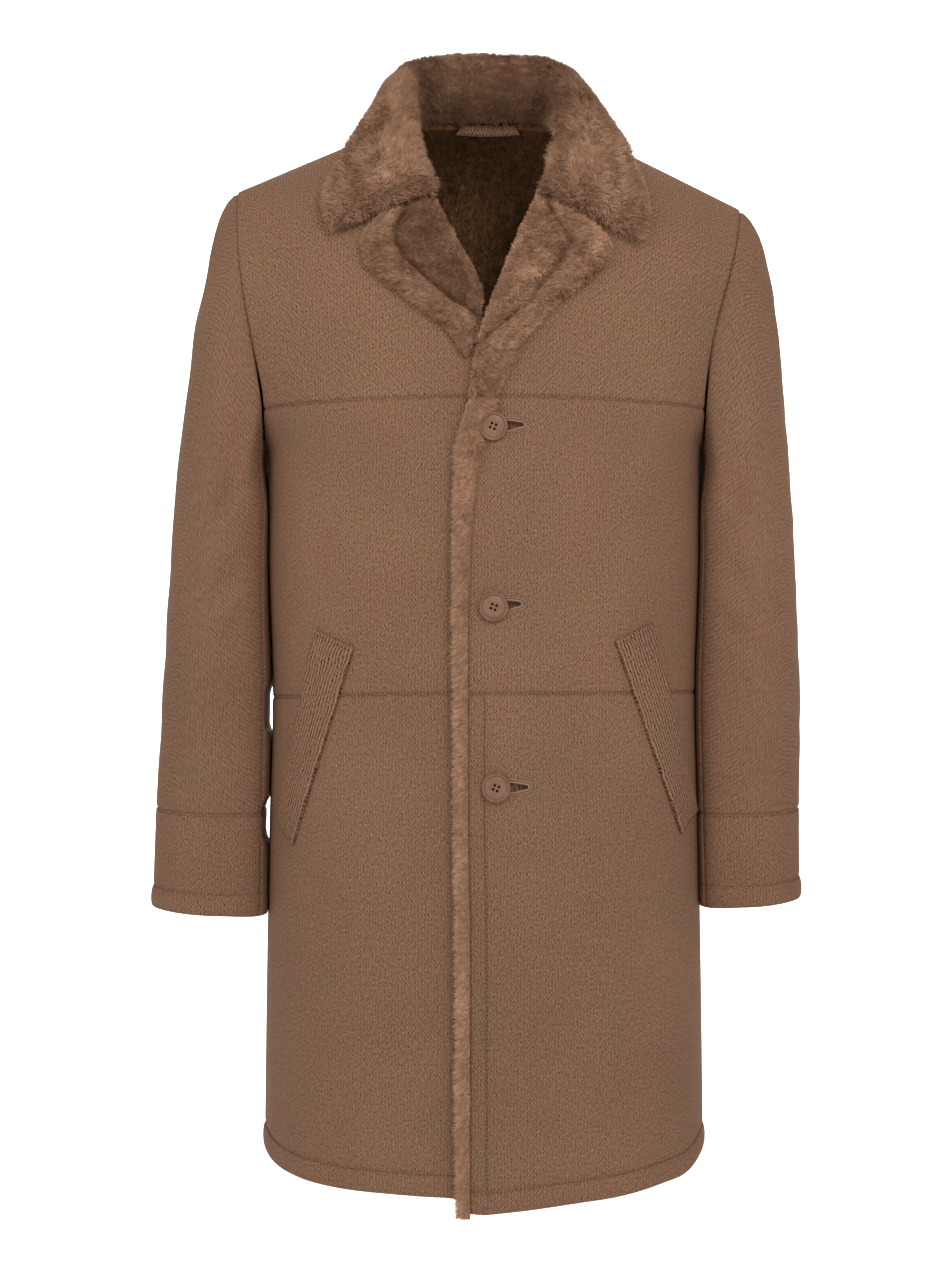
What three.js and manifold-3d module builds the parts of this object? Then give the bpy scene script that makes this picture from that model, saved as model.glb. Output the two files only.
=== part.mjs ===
// A men's shearling coat, worn open at the neck and filled out with no wearer.
// Millimetres, +Z up, the front faces -Y. The origin is on the shoulder line, midway between the shoulders.
import * as THREE from "three";
import Module from "manifold-3d";
import { mergeVertices } from "three/addons/utils/BufferGeometryUtils.js";

const wasm = await Module();
wasm.setup();

// Driving dimensions.
const SKIN = 6; // wall of skin and shorn pile
const SEAM_GAP = 0.35; // between two sewn pieces
const LYING_GAP = 0.5; // between a panel and what lies on it
const FUR_AT_EDGE = 1.2; // height of thick fur at its very edge
const OVERLAP_LIFT = 7; // how far the lapped front stands out over the other
const FUR = 11; // thick fur of collar, lapels and front edge
const FRONT_ROUND = 2.35; // superellipse power of the fronts
const BACK_ROUND = 2.2; // superellipse power of the back
const SHOULDER_Y = 5; // plane of the shoulder and side seams
const SHOULDER_DROP = 90; // height over which the shoulder rounds over
const NECK = { x: 74, z: 26, soft: 25 }; // neck end of the shoulder seam
const UNDERARM_Z = -290;
const CHEST_SEAM_Z = -245;
const WAIST_SEAM_Z = -515;
const CUFF_SEAM_Z = -625;
const HEM_BAND = 20; // turned hem below its stitching
const BAND_BULGE = 2;
const STITCH_DIP = 0.8;
const UNDERLAP_X = 22; // how far the covered front runs past the middle
const LAP_FULL_X = 26; // the lapped front stands fully out up to here
const LAP_END_X = 96; // and lies back on the body from here

// Body sections: half width, depth in front and behind the shoulder plane.
const BODY = [
  { z: 60, half: 240, front: 54, back: 78 },
  { z: 0, half: 262, front: 72, back: 100 },
  { z: -60, half: 268, front: 96, back: 120 },
  { z: -166, half: 256, front: 126, back: 137 },
  { z: -245, half: 226, front: 141, back: 139 },
  { z: -290, half: 206, front: 145, back: 136 },
  { z: -400, half: 204, front: 149, back: 130 },
  { z: -515, half: 200, front: 151, back: 128 },
  { z: -630, half: 203, front: 155, back: 136 },
  { z: -800, half: 206, front: 161, back: 149 },
  { z: -990, half: 208, front: 168, back: 158 },
];

// Armhole edge across the body, by height. "left" is the image's left.
const ARMHOLE = {
  left: [
    { z: -42, x: 234.5 },
    { z: -98, x: 231 },
    { z: -149, x: 224.5 },
    { z: -197, x: 215 },
    { z: -245, x: 206 },
    { z: -290, x: 206 },
  ],
  right: [
    { z: -59, x: 244 },
    { z: -104, x: 236 },
    { z: -140, x: 227 },
    { z: -188, x: 214 },
    { z: -245, x: 206 },
    { z: -290, x: 206 },
  ],
};

// Sleeve sections: outer and inner reach from the middle, half depth and its centre.
const SLEEVE = {
  left: [
    { z: -42, outer: 235, inner: 234, deep: 6, mid: 5 },
    { z: -52, outer: 244, inner: 224, deep: 26, mid: 5 },
    { z: -66, outer: 251, inner: 217, deep: 40, mid: 5 },
    { z: -90, outer: 257.5, inner: 209, deep: 52, mid: 6 },
    { z: -130, outer: 265.5, inner: 200, deep: 65, mid: 7 },
    { z: -169, outer: 273.5, inner: 195, deep: 74, mid: 8 },
    { z: -231, outer: 281.5, inner: 200, deep: 82, mid: 9 },
    { z: -290, outer: 289.5, inner: 208, deep: 85, mid: 10 },
    { z: -330, outer: 293.5, inner: 209.5, deep: 84, mid: 11 },
    { z: -430, outer: 300, inner: 209, deep: 77, mid: 12 },
    { z: -520, outer: 305, inner: 207, deep: 69, mid: 8 },
    { z: -625, outer: 310.5, inner: 208.5, deep: 61, mid: 0 },
    { z: -727, outer: 313.5, inner: 210, deep: 54, mid: -8 },
  ],
  right: [
    { z: -59, outer: 245, inner: 243, deep: 6, mid: 5 },
    { z: -69, outer: 254, inner: 232, deep: 26, mid: 5 },
    { z: -87, outer: 263.5, inner: 219, deep: 42, mid: 5 },
    { z: -110, outer: 269.5, inner: 208, deep: 54, mid: 6 },
    { z: -135, outer: 274.5, inner: 200, deep: 64, mid: 7 },
    { z: -174, outer: 279, inner: 195, deep: 74, mid: 8 },
    { z: -231, outer: 284, inner: 200, deep: 82, mid: 9 },
    { z: -290, outer: 289, inner: 208, deep: 85, mid: 10 },
    { z: -330, outer: 292, inner: 209.5, deep: 84, mid: 11 },
    { z: -430, outer: 297, inner: 206.5, deep: 77, mid: 12 },
    { z: -520, outer: 300, inner: 204, deep: 69, mid: 8 },
    { z: -625, outer: 298.5, inner: 206, deep: 61, mid: 0 },
    { z: -717, outer: 298.5, inner: 208.5, deep: 54, mid: -8 },
  ],
};

// Shoulder point, sleeve end and hem of each side.
const SIDES = {
  left: { sign: -1, shoulderX: 234.5, shoulderZ: -42, sleeveEnd: -719 },
  right: { sign: 1, shoulderX: 244, shoulderZ: -59, sleeveEnd: -711 },
};

// Hem height by distance from the middle.
const HEM = {
  left: [
    { x: 0, z: -969 },
    { x: 82, z: -966 },
    { x: 139, z: -963 },
    { x: 174, z: -958 },
    { x: 197, z: -950 },
    { x: 208, z: -941 },
  ],
  right: [
    { x: 0, z: -982 },
    { x: 84, z: -974 },
    { x: 126, z: -970 },
    { x: 164, z: -963 },
    { x: 189, z: -957 },
    { x: 208, z: -941 },
  ],
  back: [
    { x: 0, z: -957 },
    { x: 120, z: -953 },
    { x: 180, z: -947 },
    { x: 208, z: -941 },
  ],
};

// Front edge of each front from the neck down, as signed distance from the middle.
const FRONT_EDGE = {
  left: [
    { z: 26, x: -74 },
    { z: -10, x: -70 },
    { z: -48, x: -60 },
    { z: -75, x: -47 },
    { z: -106, x: -33 },
    { z: -139, x: -20 },
    { z: -164, x: -12 },
    { z: -190, x: 2 },
    { z: -215, x: UNDERLAP_X - 6 },
    { z: -245, x: UNDERLAP_X },
    { z: -990, x: UNDERLAP_X },
  ],
  right: [
    { z: 26, x: 74 },
    { z: -10, x: 70 },
    { z: -48, x: 60 },
    { z: -75, x: 48 },
    { z: -106, x: 35 },
    { z: -139, x: 22 },
    { z: -164, x: 13 },
    { z: -190, x: 4 },
    { z: -215, x: -2 },
    { z: -245, x: -8 },
    { z: -300, x: -14 },
    { z: -640, x: -13 },
    { z: -720, x: -11.5 },
    { z: -990, x: -11.5 },
  ],
};

// Lapels lie on the fronts: inner and outer edge of each row, as distances towards that side.
const LAPEL = {
  left: [
    { xi: 45, zi: -58, xo: 97, zo: -77 },
    { xi: 37, zi: -75, xo: 112, zo: -99 },
    { xi: 25, zi: -98, xo: 106, zo: -121 },
    { xi: 11, zi: -124, xo: 82, zo: -142 },
    { xi: 1, zi: -150, xo: 54, zo: -164 },
    { xi: 4, zi: -170, xo: 33, zo: -182 },
    { xi: 9, zi: -194, xo: 16, zo: -208 },
  ],
  right: [
    { xi: 48, zi: -56, xo: 101, zo: -83.5 },
    { xi: 38, zi: -77, xo: 116, zo: -107 },
    { xi: 28, zi: -102, xo: 99, zo: -132 },
    { xi: 16, zi: -132, xo: 76, zo: -149 },
    { xi: 5, zi: -160, xo: 50, zo: -175 },
    { xi: -3, zi: -186, xo: 31, zo: -198 },
    { xi: -8, zi: -214, xo: 20, zo: -222 },
    { xi: -13, zi: -243.5, xo: 10, zo: -244.5 },
  ],
};

// Fur turned out along the front edge, from the lapel to the hem.
const EDGE_FUR = [
  { z: -245, xi: -13, xo: 10 },
  { z: -262, xi: -19, xo: 4 },
  { z: -290, xi: -24, xo: -3 },
  { z: -340, xi: -26, xo: -8 },
  { z: -390, xi: -27.5, xo: -11 },
  { z: -440, xi: -28, xo: -13 },
  { z: -655, xi: -27.5, xo: -12.5 },
  { z: -720, xi: -25, xo: -11 },
  { z: -990, xi: -25, xo: -11 },
];

// Collar stations from the middle of the back to the front end of one half.
// The fall lies on the back, over the shoulder and on the front; out is its distance from them.
const COLLAR = [
  { seamX: 0, foldX: 0, foldY: 68, foldZ: 92, edgeLeft: 0, edgeRight: 0, edgeY: 97, edgeOut: 3 },
  { seamX: 30, foldX: 32, foldY: 64, foldZ: 91, edgeLeft: 44, edgeRight: 44, edgeY: 94, edgeOut: 3 },
  { seamX: 56, foldX: 58, foldY: 48, foldZ: 85, edgeLeft: 83, edgeRight: 86, edgeY: 80, edgeOut: 3 },
  { seamX: 71, foldX: 73, foldY: 22, foldZ: 70, edgeLeft: 111, edgeRight: 118, edgeY: 44, edgeOut: 5.5 },
];
const COLLAR_FRONT = {
  left: [
    { seamZ: 22, foldX: 74, foldZ: 47, foldOut: 14, edgeX: 129, edgeZ: -8, edgeOut: 7.5 },
    { seamZ: 0, foldX: 71, foldZ: 16, foldOut: 11, edgeX: 139, edgeZ: -37, edgeOut: 5 },
    { seamZ: -26, foldX: 63, foldZ: -18, foldOut: 8, edgeX: 146, edgeZ: -62, edgeOut: 4.5 },
    { seamZ: -50, foldX: 48, foldZ: -54, foldOut: 6, edgeX: 139, edgeZ: -87, edgeOut: 4 },
  ],
  right: [
    { seamZ: 22, foldX: 77, foldZ: 47, foldOut: 14, edgeX: 134, edgeZ: -8, edgeOut: 6 },
    { seamZ: 0, foldX: 76, foldZ: 16, foldOut: 10, edgeX: 142, edgeZ: -40, edgeOut: 3 },
    { seamZ: -26, foldX: 68, foldZ: -18, foldOut: 6, edgeX: 149, edgeZ: -68, edgeOut: 2.5 },
    { seamZ: -48, foldX: 51, foldZ: -52, foldOut: 3, edgeX: 142, edgeZ: -99, edgeOut: 2.5 },
  ],
};

const BUTTONS = [
  { x: 8, z: -272, hole: 23 },
  { x: 8.5, z: -435.7, hole: 25 },
  { x: 10.5, z: -599, hole: 28 },
];
const BUTTON = { radius: 13, rim: 1.9, thick: 3.2, dish: 0.9, holeRing: 2.3, holeRadius: 0.95, out: 0.6 };
const BUTTONHOLE = { halfHigh: 3.8, shankRadius: 2.6 };

// Pocket welts: corners from the top inner one, as distances towards that side.
const WELT = {
  left: { topInner: [118, -473], topOuter: [154, -456], lowInner: [175, -655], lowOuter: [193, -636] },
  right: { topInner: [118.5, -467], topOuter: [153.5, -450], lowInner: [181, -645], lowOuter: [198, -626] },
  thick: 3,
};
const LOOP = { x: 4, z: 20.5, halfLong: 31, halfTop: 25, high: 10, thick: 2.4 };

const clamp = (t) => Math.min(1, Math.max(0, t));
const lerp = (a, b, t) => a + (b - a) * t;
const smooth = (a, b, t) => {
  const s = clamp((t - a) / (b - a));
  return s * s * (3 - 2 * s);
};
const steps = (n) => Array.from({ length: n + 1 }, (_, i) => i / n);

// A named column of a table, as a smooth curve of its key column.
function along(table, column, at, key = "z") {
  const rows = table[0][key] > table[table.length - 1][key] ? [...table].reverse() : table;
  const t = Math.min(rows[rows.length - 1][key], Math.max(rows[0][key], at));
  let i = rows.findIndex((r) => r[key] >= t) - 1;
  if (i < 0) i = 0;
  const [a, b] = [rows[i], rows[i + 1]];
  const slope = (p, q) => (q[column] - p[column]) / (q[key] - p[key]);
  const here = slope(a, b);
  const limit = (m) => (here === 0 ? 0 : Math.sign(here) * Math.min(Math.max(m * Math.sign(here), 0), 3 * Math.abs(here)));
  const ma = limit(i > 0 ? (slope(rows[i - 1], a) + here) / 2 : here);
  const mb = limit(i + 2 < rows.length ? (slope(b, rows[i + 2]) + here) / 2 : here);
  const w = b[key] - a[key];
  const s = (t - a[key]) / w;
  return (
    a[column] * (1 + 2 * s) * (1 - s) ** 2 + ma * w * s * (1 - s) ** 2 +
    b[column] * s * s * (3 - 2 * s) + mb * w * s * s * (s - 1)
  );
}

// Height of the shoulder ridge at a distance x from the middle, sloping to each side's own shoulder point.
function ridge(x) {
  const slope = (s) => (NECK.z - s.shoulderZ) / (s.shoulderX - NECK.x);
  const fall = lerp(slope(SIDES.left), slope(SIDES.right), smooth(-60, 60, x));
  return NECK.z + fall * (Math.hypot(NECK.x, NECK.soft) - Math.hypot(x, NECK.soft));
}

// A point of the wall of the body, in front of or behind the shoulder plane: its outer and inner face.
function onBody(face, x, z) {
  const half = along(BODY, "half", z);
  const q = clamp(Math.abs(x) / half);
  const power = face === "front" ? FRONT_ROUND : BACK_ROUND;
  const t = clamp((ridge(x) - z) / SHOULDER_DROP);
  const round = (1 - q ** power) ** (1 / power) * Math.sqrt(1 - (1 - t) ** 2);
  const deep = along(BODY, face, z);
  const toward = face === "front" ? -1 : 1;
  return {
    outer: new THREE.Vector3(x, SHOULDER_Y + toward * deep * round, z),
    inner: new THREE.Vector3(
      x * (1 - SKIN / half),
      SHOULDER_Y + toward * (deep - SKIN) * round,
      z - SKIN * (1 - t),
    ),
  };
}
const skinPoint = (face, x, z) => onBody(face, x, z).outer;

// Height of the body's outer surface over a point of the floor plan.
function restingZ(x, y) {
  const face = y < SHOULDER_Y ? "front" : "back";
  let [low, high] = [ridge(x) - 150, ridge(x)];
  for (let k = 0; k < 30; k++) {
    const z = (low + high) / 2;
    if (Math.abs(skinPoint(face, x, z).y - SHOULDER_Y) > Math.abs(y - SHOULDER_Y)) low = z;
    else high = z;
  }
  return (low + high) / 2;
}

// The x at a share of the way round from the middle plane to the side, spread evenly in angle.
function roundX(face, x0, x1, z, u) {
  const half = along(BODY, "half", z);
  const power = (face === "front" ? FRONT_ROUND : BACK_ROUND) / 2;
  const angle = (x) => Math.sign(x) * Math.asin(Math.min(1, Math.abs(x) / half) ** power);
  const a = lerp(angle(x0), angle(x1), u);
  return Math.sign(a) * half * Math.abs(Math.sin(a)) ** (1 / power);
}

// How far the lapped front stands out over the other, at a point of it.
const lapLift = (x) => OVERLAP_LIFT * (1 - smooth(LAP_FULL_X, LAP_END_X, x));

// Relief of a turned hem: a dip at its stitching and a soft roll below it. d is the distance above the edge.
function bandRelief(d) {
  if (d > HEM_BAND + 4) return 0;
  const dip = STITCH_DIP * Math.exp(-(((d - HEM_BAND) / 1.6) ** 2));
  const roll = d < HEM_BAND ? BAND_BULGE * Math.sin(Math.PI * clamp(d / HEM_BAND) ** 0.8) ** 0.6 : 0;
  return roll - dip;
}

// Unit normals of a grid of points, by its neighbours.
function gridNormals(grid) {
  const [rows, cols] = [grid.length, grid[0].length];
  const at = (i, j) => grid[Math.min(rows - 1, Math.max(0, i))][Math.min(cols - 1, Math.max(0, j))];
  return grid.map((row, i) =>
    row.map((_, j) => {
      const du = at(i, j + 1).clone().sub(at(i, j - 1));
      const dv = at(i + 1, j).clone().sub(at(i - 1, j));
      return du.cross(dv).normalize();
    }),
  );
}

// A closed solid between two layers of one grid of points, moved along its normals.
function layered(grid, normals, low, high) {
  const [rows, cols] = [grid.length, grid[0].length];
  const position = [];
  const index = [];
  for (const level of [high, low])
    for (let i = 0; i < rows; i++)
      for (let j = 0; j < cols; j++) {
        const p = grid[i][j].clone().addScaledVector(normals[i][j], level(i, j));
        position.push(p.x, p.y, p.z);
      }
  const top = (i, j) => i * cols + j;
  const bottom = (i, j) => rows * cols + i * cols + j;
  const quad = (a, b, c, d) => index.push(a, b, c, a, c, d);
  for (let i = 0; i + 1 < rows; i++)
    for (let j = 0; j + 1 < cols; j++) {
      quad(top(i, j), top(i, j + 1), top(i + 1, j + 1), top(i + 1, j));
      quad(bottom(i, j), bottom(i + 1, j), bottom(i + 1, j + 1), bottom(i, j + 1));
    }
  for (let j = 0; j + 1 < cols; j++) {
    quad(top(0, j + 1), top(0, j), bottom(0, j), bottom(0, j + 1));
    quad(top(rows - 1, j), top(rows - 1, j + 1), bottom(rows - 1, j + 1), bottom(rows - 1, j));
  }
  for (let i = 0; i + 1 < rows; i++) {
    quad(top(i, 0), top(i + 1, 0), bottom(i + 1, 0), bottom(i, 0));
    quad(top(i + 1, cols - 1), top(i, cols - 1), bottom(i, cols - 1), bottom(i + 1, cols - 1));
  }
  const g = new THREE.BufferGeometry();
  g.setAttribute("position", new THREE.Float32BufferAttribute(position, 3));
  g.setIndex(index);
  return g;
}

// Turned to face out, whichever way its grid ran.
function facingOut(g) {
  const p = g.getAttribute("position");
  const index = [...g.index.array];
  const [a, b, c] = [new THREE.Vector3(), new THREE.Vector3(), new THREE.Vector3()];
  let volume = 0;
  for (let i = 0; i < index.length; i += 3) {
    a.fromBufferAttribute(p, index[i]);
    b.fromBufferAttribute(p, index[i + 1]);
    c.fromBufferAttribute(p, index[i + 2]);
    volume += a.dot(b.cross(c));
  }
  if (volume < 0)
    for (let i = 0; i < index.length; i += 3) [index[i + 1], index[i + 2]] = [index[i + 2], index[i + 1]];
  g.setIndex(index);
  return g;
}

// A cloth wall from a grid of points of its two faces.
function wall(pairs) {
  const grid = pairs.map((row) => row.map((p) => p.outer));
  const inward = pairs.map((row) => row.map((p) => p.inner.clone().sub(p.outer)));
  return facingOut(layered(grid, inward, () => 1, () => 0));
}

const awayFromAxis = (p) => new THREE.Vector3(p.x, p.y - SHOULDER_Y, 0);

function toSolid(g) {
  const bare = mergeVertices(new THREE.BufferGeometry().setAttribute("position", g.getAttribute("position")).setIndex(g.index), 1e-4);
  return new wasm.Manifold(
    new wasm.Mesh({ numProp: 3, vertProperties: bare.attributes.position.array, triVerts: new Uint32Array(bare.index.array) }),
  );
}

function fromSolid(solid) {
  const m = solid.getMesh();
  const g = new THREE.BufferGeometry();
  const xyz = [];
  for (let i = 0; i < m.numVert; i++) xyz.push(...m.vertProperties.subarray(i * m.numProp, i * m.numProp + 3));
  g.setAttribute("position", new THREE.Float32BufferAttribute(xyz, 3));
  g.setIndex([...m.triVerts]);
  return g;
}

// Front panels. A panel runs from level "from" to level "to", and its columns go from the front edge to the side.
const chestSeam = (x) => CHEST_SEAM_Z - 6 * (x / 205) ** 2;
const waistSeam = (side, x) => WAIST_SEAM_Z - (side === "left" ? 5 : 0) * (x / 205) ** 2;
const hem = (name, x) => along(HEM[name], "z", Math.abs(x), "x");

function sideX(side, z) {
  return z > UNDERARM_Z ? along(ARMHOLE[side], "x", z) : along(BODY, "half", z);
}

function frontPair(side, x, z) {
  const pair = onBody("front", x, z);
  const lift = side === "right" ? lapLift(x) * smooth(-60, -200, z) : 0;
  pair.outer.y -= lift;
  pair.inner.y -= lift;
  return pair;
}
const frontPoint = (side, x, z) => frontPair(side, x, z).outer;

function onSeamPlane(pair, y) {
  pair.outer.y = y;
  pair.inner.y = y;
  return pair;
}

function yoke(side) {
  const { sign, shoulderX, shoulderZ } = SIDES[side];
  const shares = [0, 0.012, 0.04, 0.09, 0.16, 0.25, 0.35, 0.46, 0.58, 0.7, 0.82, 0.92, 1];
  const pairs = shares.map((s) => {
    const outerZ = lerp(shoulderZ, chestSeam(206) + SEAM_GAP / 2, s);
    const innerZ = lerp(NECK.z, chestSeam(0) + SEAM_GAP / 2, s);
    const innerX = along(FRONT_EDGE[side], "x", innerZ);
    const outerX = sign * (s === 0 ? shoulderX : along(ARMHOLE[side], "x", outerZ));
    return steps(11).map((u) => {
      const x = lerp(innerX, outerX, u);
      if (s === 1) return frontPair(side, x, chestSeam(x) + SEAM_GAP / 2);
      const bow = ridge(x) - lerp(NECK.z, shoulderZ, u);
      const pair = frontPair(side, x, lerp(innerZ, outerZ, u) + bow * (1 - s));
      return s === 0 ? onSeamPlane(pair, SHOULDER_Y - SEAM_GAP / 2) : pair;
    });
  });
  return wall(pairs);
}

function frontPanel(side, topOf, lowOf, rowShares, band) {
  const { sign } = SIDES[side];
  const pairs = rowShares.map((v) =>
    steps(13).map((u) => {
      let x = 0;
      let z = 0;
      for (let pass = 0; pass < 5; pass++) {
        z = lerp(topOf(x), lowOf(x), v);
        const edge = along(FRONT_EDGE[side], "x", z);
        x = roundX("front", edge, sign * sideX(side, z), z, u);
      }
      const pair = frontPair(side, x, z);
      if (u === 1 && z < UNDERARM_Z + 0.5) onSeamPlane(pair, SHOULDER_Y - SEAM_GAP / 2);
      if (band) {
        const under = side === "left" ? smooth(-18, -40, x) : 1;
        pair.outer.addScaledVector(awayFromAxis(pair.outer).normalize(), under * bandRelief(z - lowOf(x)));
      }
      return pair;
    }),
  );
  return wall(pairs);
}

// Rows of a panel that ends in a turned hem, closer together at the band.
function hemRows(high, count) {
  const band = [HEM_BAND + 5, HEM_BAND, HEM_BAND - 4, HEM_BAND / 2, 3, 0].map((d) => 1 - d / high);
  return [...steps(count).map((v) => v * (band[0] - 0.03)), ...band];
}

// Rows of the middle panels crowd towards the underarm, where the armhole ends.
const MID_ROWS = [-251, -263, -274, -283, -288, UNDERARM_Z, -300, -322, -350, -385, -425, -470, -515];
const midRows = MID_ROWS.map((z) => (z - MID_ROWS[0]) / (MID_ROWS[MID_ROWS.length - 1] - MID_ROWS[0]));

const midPanel = (side) =>
  frontPanel(side, (x) => chestSeam(x) - SEAM_GAP / 2, (x) => waistSeam(side, x) + SEAM_GAP / 2, midRows, false);
const skirt = (side) =>
  frontPanel(side, (x) => waistSeam(side, x) - SEAM_GAP / 2, (x) => hem(side, x), hemRows(450, 8), true);

// The back is one piece from the shoulders and the back of the neck to the hem.
// Its rows are given as drops below its top edge, where it is BACK_DROP high in all.
const BACK_DROP = 915;
const BACK_ROWS = [
  0, 3, 9, 20, 36, 58, 86, 120, 160, 198, 226, 239, 248, 270, 320, 400, 500, 620, 740, 830,
  ...[HEM_BAND + 5, HEM_BAND, HEM_BAND - 4, HEM_BAND / 2, 3, 0].map((d) => BACK_DROP - d),
];
const BACK_NECK_RISE = 7;
const neckCurve = (x) => NECK.z + BACK_NECK_RISE * (1 - (x / NECK.x) ** 2);

function backPanel() {
  const half = [0, 0.1, 0.2, 0.315, 0.42, 0.53, 0.64, 0.74, 0.83, 0.9, 0.955, 1];
  const neckShare = half[3] - 1e-4;
  const across = [...half.slice(1).map((u) => -u).reverse(), ...half];
  const pairs = BACK_ROWS.map((drop) =>
    across.map((u) => {
      const side = u < 0 ? "left" : "right";
      const { sign, shoulderX, shoulderZ } = SIDES[side];
      const top = (x) => (Math.abs(x) < NECK.x ? neckCurve(x) : ridge(sign * Math.min(Math.abs(x), shoulderX)));
      const down = (topZ, x) => lerp(topZ, hem("back", x), drop / BACK_DROP);
      const reach = drop === 0 ? shoulderX : sideX(side, down(shoulderZ, sign * shoulderX));
      let x = u * reach;
      for (let pass = 0; pass < 6 && drop > 0; pass++) {
        const even = roundX("back", 0, sign * reach, down(top(x), x), Math.abs(u));
        x = lerp(u * reach, even, smooth(40, 260, drop));
      }
      const z = down(top(x), x);
      const pair = onBody("back", x, z);
      const onShoulder = drop === 0 && Math.abs(u) > neckShare;
      const onSide = Math.abs(u) === 1 && z < UNDERARM_Z + 0.5;
      if (onShoulder || onSide) onSeamPlane(pair, SHOULDER_Y + SEAM_GAP / 2);
      pair.outer.addScaledVector(awayFromAxis(pair.outer).normalize(), bandRelief(z - hem("back", x)));
      return pair;
    }),
  );
  return wall(pairs);
}

// Sleeves. angle runs round the sleeve: 0 outside, 90 in front, 180 inside, 270 behind.
const SLEEVE_GAP = 0.5;
function armholePair(side, angle) {
  const { sign, shoulderZ } = SIDES[side];
  const z = lerp(shoulderZ, UNDERARM_Z, (1 - Math.cos(angle)) / 2);
  const x = along(ARMHOLE[side], "x", z);
  return onBody(Math.sin(angle) >= 0 ? "front" : "back", sign * x, z);
}
const armholeZ = (side, angle) => armholePair(side, angle).outer.z;

function tubePoint(side, angle, z) {
  const rows = SLEEVE[side];
  const outer = along(rows, "outer", z);
  const inner = along(rows, "inner", z);
  const x = (outer + inner) / 2 + ((outer - inner) / 2) * Math.cos(angle);
  const y = along(rows, "mid", z) - along(rows, "deep", z) * Math.sin(angle);
  return new THREE.Vector3(SIDES[side].sign * x, y, z);
}

const sleeveSeamZ = (angle) => CUFF_SEAM_Z - 3 * Math.sin(angle) + 2 * Math.cos(angle);
const sleeveEndZ = (side, angle) => SIDES[side].sleeveEnd - 3 * Math.sin(angle) + 3 * Math.cos(angle);

// A point of the sleeve's wall: it starts on the armhole, and eases into the sleeve's own section.
// At the top of the armhole the wall stands like the body's, and under the arm like the sleeve's own.
function sleevePair(side, angle, z) {
  const { sign } = SIDES[side];
  const start = armholePair(side, angle);
  const offset = start.outer.clone().sub(tubePoint(side, angle, start.outer.z));
  const below = start.outer.z - z;
  const outer = tubePoint(side, angle, z).addScaledVector(offset, 1 - smooth(0, 130, below));
  outer.x += sign * SLEEVE_GAP;
  const atBody = start.inner.clone().sub(start.outer);
  const own = new THREE.Vector3(-sign * Math.cos(angle), Math.sin(angle), 0).multiplyScalar(SKIN);
  const turned = Math.max(smooth(0, 60, below), smooth(0, -0.7, Math.cos(angle)));
  return { outer, inner: atBody.lerp(own, turned).add(outer) };
}

function sleeveWall(side, cut, rowShares, topOf, lowOf, band) {
  const { sign } = SIDES[side];
  const angles = steps(cut.columns).map((u) => lerp(cut.from, cut.to, u));
  const pairs = rowShares.map((v) =>
    angles.map((a) => {
      const z = lerp(topOf(a), lowOf(a), v);
      const pair = sleevePair(side, a, z);
      if (band) {
        const out = new THREE.Vector3(sign * Math.cos(a), -Math.sin(a), 0);
        const room = lerp(0.1, 1, smooth(-0.9, -0.3, Math.cos(a)));
        pair.outer.addScaledVector(out, room * bandRelief(z - lowOf(a)));
      }
      return pair;
    }),
  );
  return wall(pairs);
}

// The sleeve is cut in two: an upper piece all round the outside, and a narrow one under the arm.
const DEGREE = Math.PI / 180;
const UPPER = { from: -131.5 * DEGREE, to: 149.5 * DEGREE, columns: 18 };
const UNDER = { from: 150.5 * DEGREE, to: 227.5 * DEGREE, columns: 6 };

function sleeve(side, cut, rowShares) {
  const topOf = (a) => armholeZ(side, a) - (cut === UNDER ? SLEEVE_GAP : 0);
  const lowOf = (a) => sleeveSeamZ(a) + SEAM_GAP / 2;
  return sleeveWall(side, cut, rowShares, topOf, lowOf, false);
}
const upperSleeve = (side) => sleeve(side, UPPER, steps(16).map((v) => v ** 1.7));
const underSleeve = (side) => sleeve(side, UNDER, steps(10).map((v) => v ** 1.2));

function cuff(side, cut) {
  const high = sleeveSeamZ(0) - sleeveEndZ(side, 0);
  const topOf = (a) => sleeveSeamZ(a) - SEAM_GAP / 2;
  return sleeveWall(side, cut, hemRows(high, 2), topOf, (a) => sleeveEndZ(side, a), true);
}

// Thickness of fur at a distance from its edge: rounded over like a quarter circle.
function furHeight(d) {
  const t = clamp(d / FUR);
  return FUR_AT_EDGE + (FUR - FUR_AT_EDGE) * Math.sqrt(1 - (1 - t) ** 2);
}

// A lapel lies on its front, a little past the front's own edge. Its fur is low along all its edges.
function lapel(side) {
  const { sign } = SIDES[side];
  const rows = LAPEL[side].map((r, k) => ({ ...r, k }));
  const across = [0, 0.12, 0.24, 0.4, 0.6, 0.78, 0.9, 1];
  const grid = steps(14).map((t) => {
    const at = (column) => along(rows, column, t * (rows.length - 1), "k");
    const [xi, zi, xo, zo] = ["xi", "zi", "xo", "zo"].map(at);
    return across.map((u) => frontPoint(side, sign * lerp(xi, xo, u), lerp(zi, zo, u)));
  });
  const normals = gridNormals(grid);
  normals.forEach((r) => r.forEach((n) => n.y > 0 && n.negate()));
  const last = { row: grid.length - 1, column: across.length - 1 };
  const high = (i, j) => {
    const wide = grid[i][0].distanceTo(grid[i][last.column]);
    const toSide = Math.min(across[j], 1 - across[j]) * wide;
    const toTop = grid[i][j].distanceTo(grid[0][j]) + 2;
    const toTail = side === "left" ? grid[i][j].distanceTo(grid[last.row][j]) : FUR;
    return furHeight(Math.min(toSide, toTop, toTail));
  };
  return facingOut(layered(grid, normals, () => LYING_GAP, high));
}

// Fur turned out along the lapped front's edge. It lies over the side of the top button.
const EDGE_FUR_HIGH = 6.8;
const EDGE_FUR_END = { round: 12, below: 2, lift: 3, liftOver: 30 };

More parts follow.
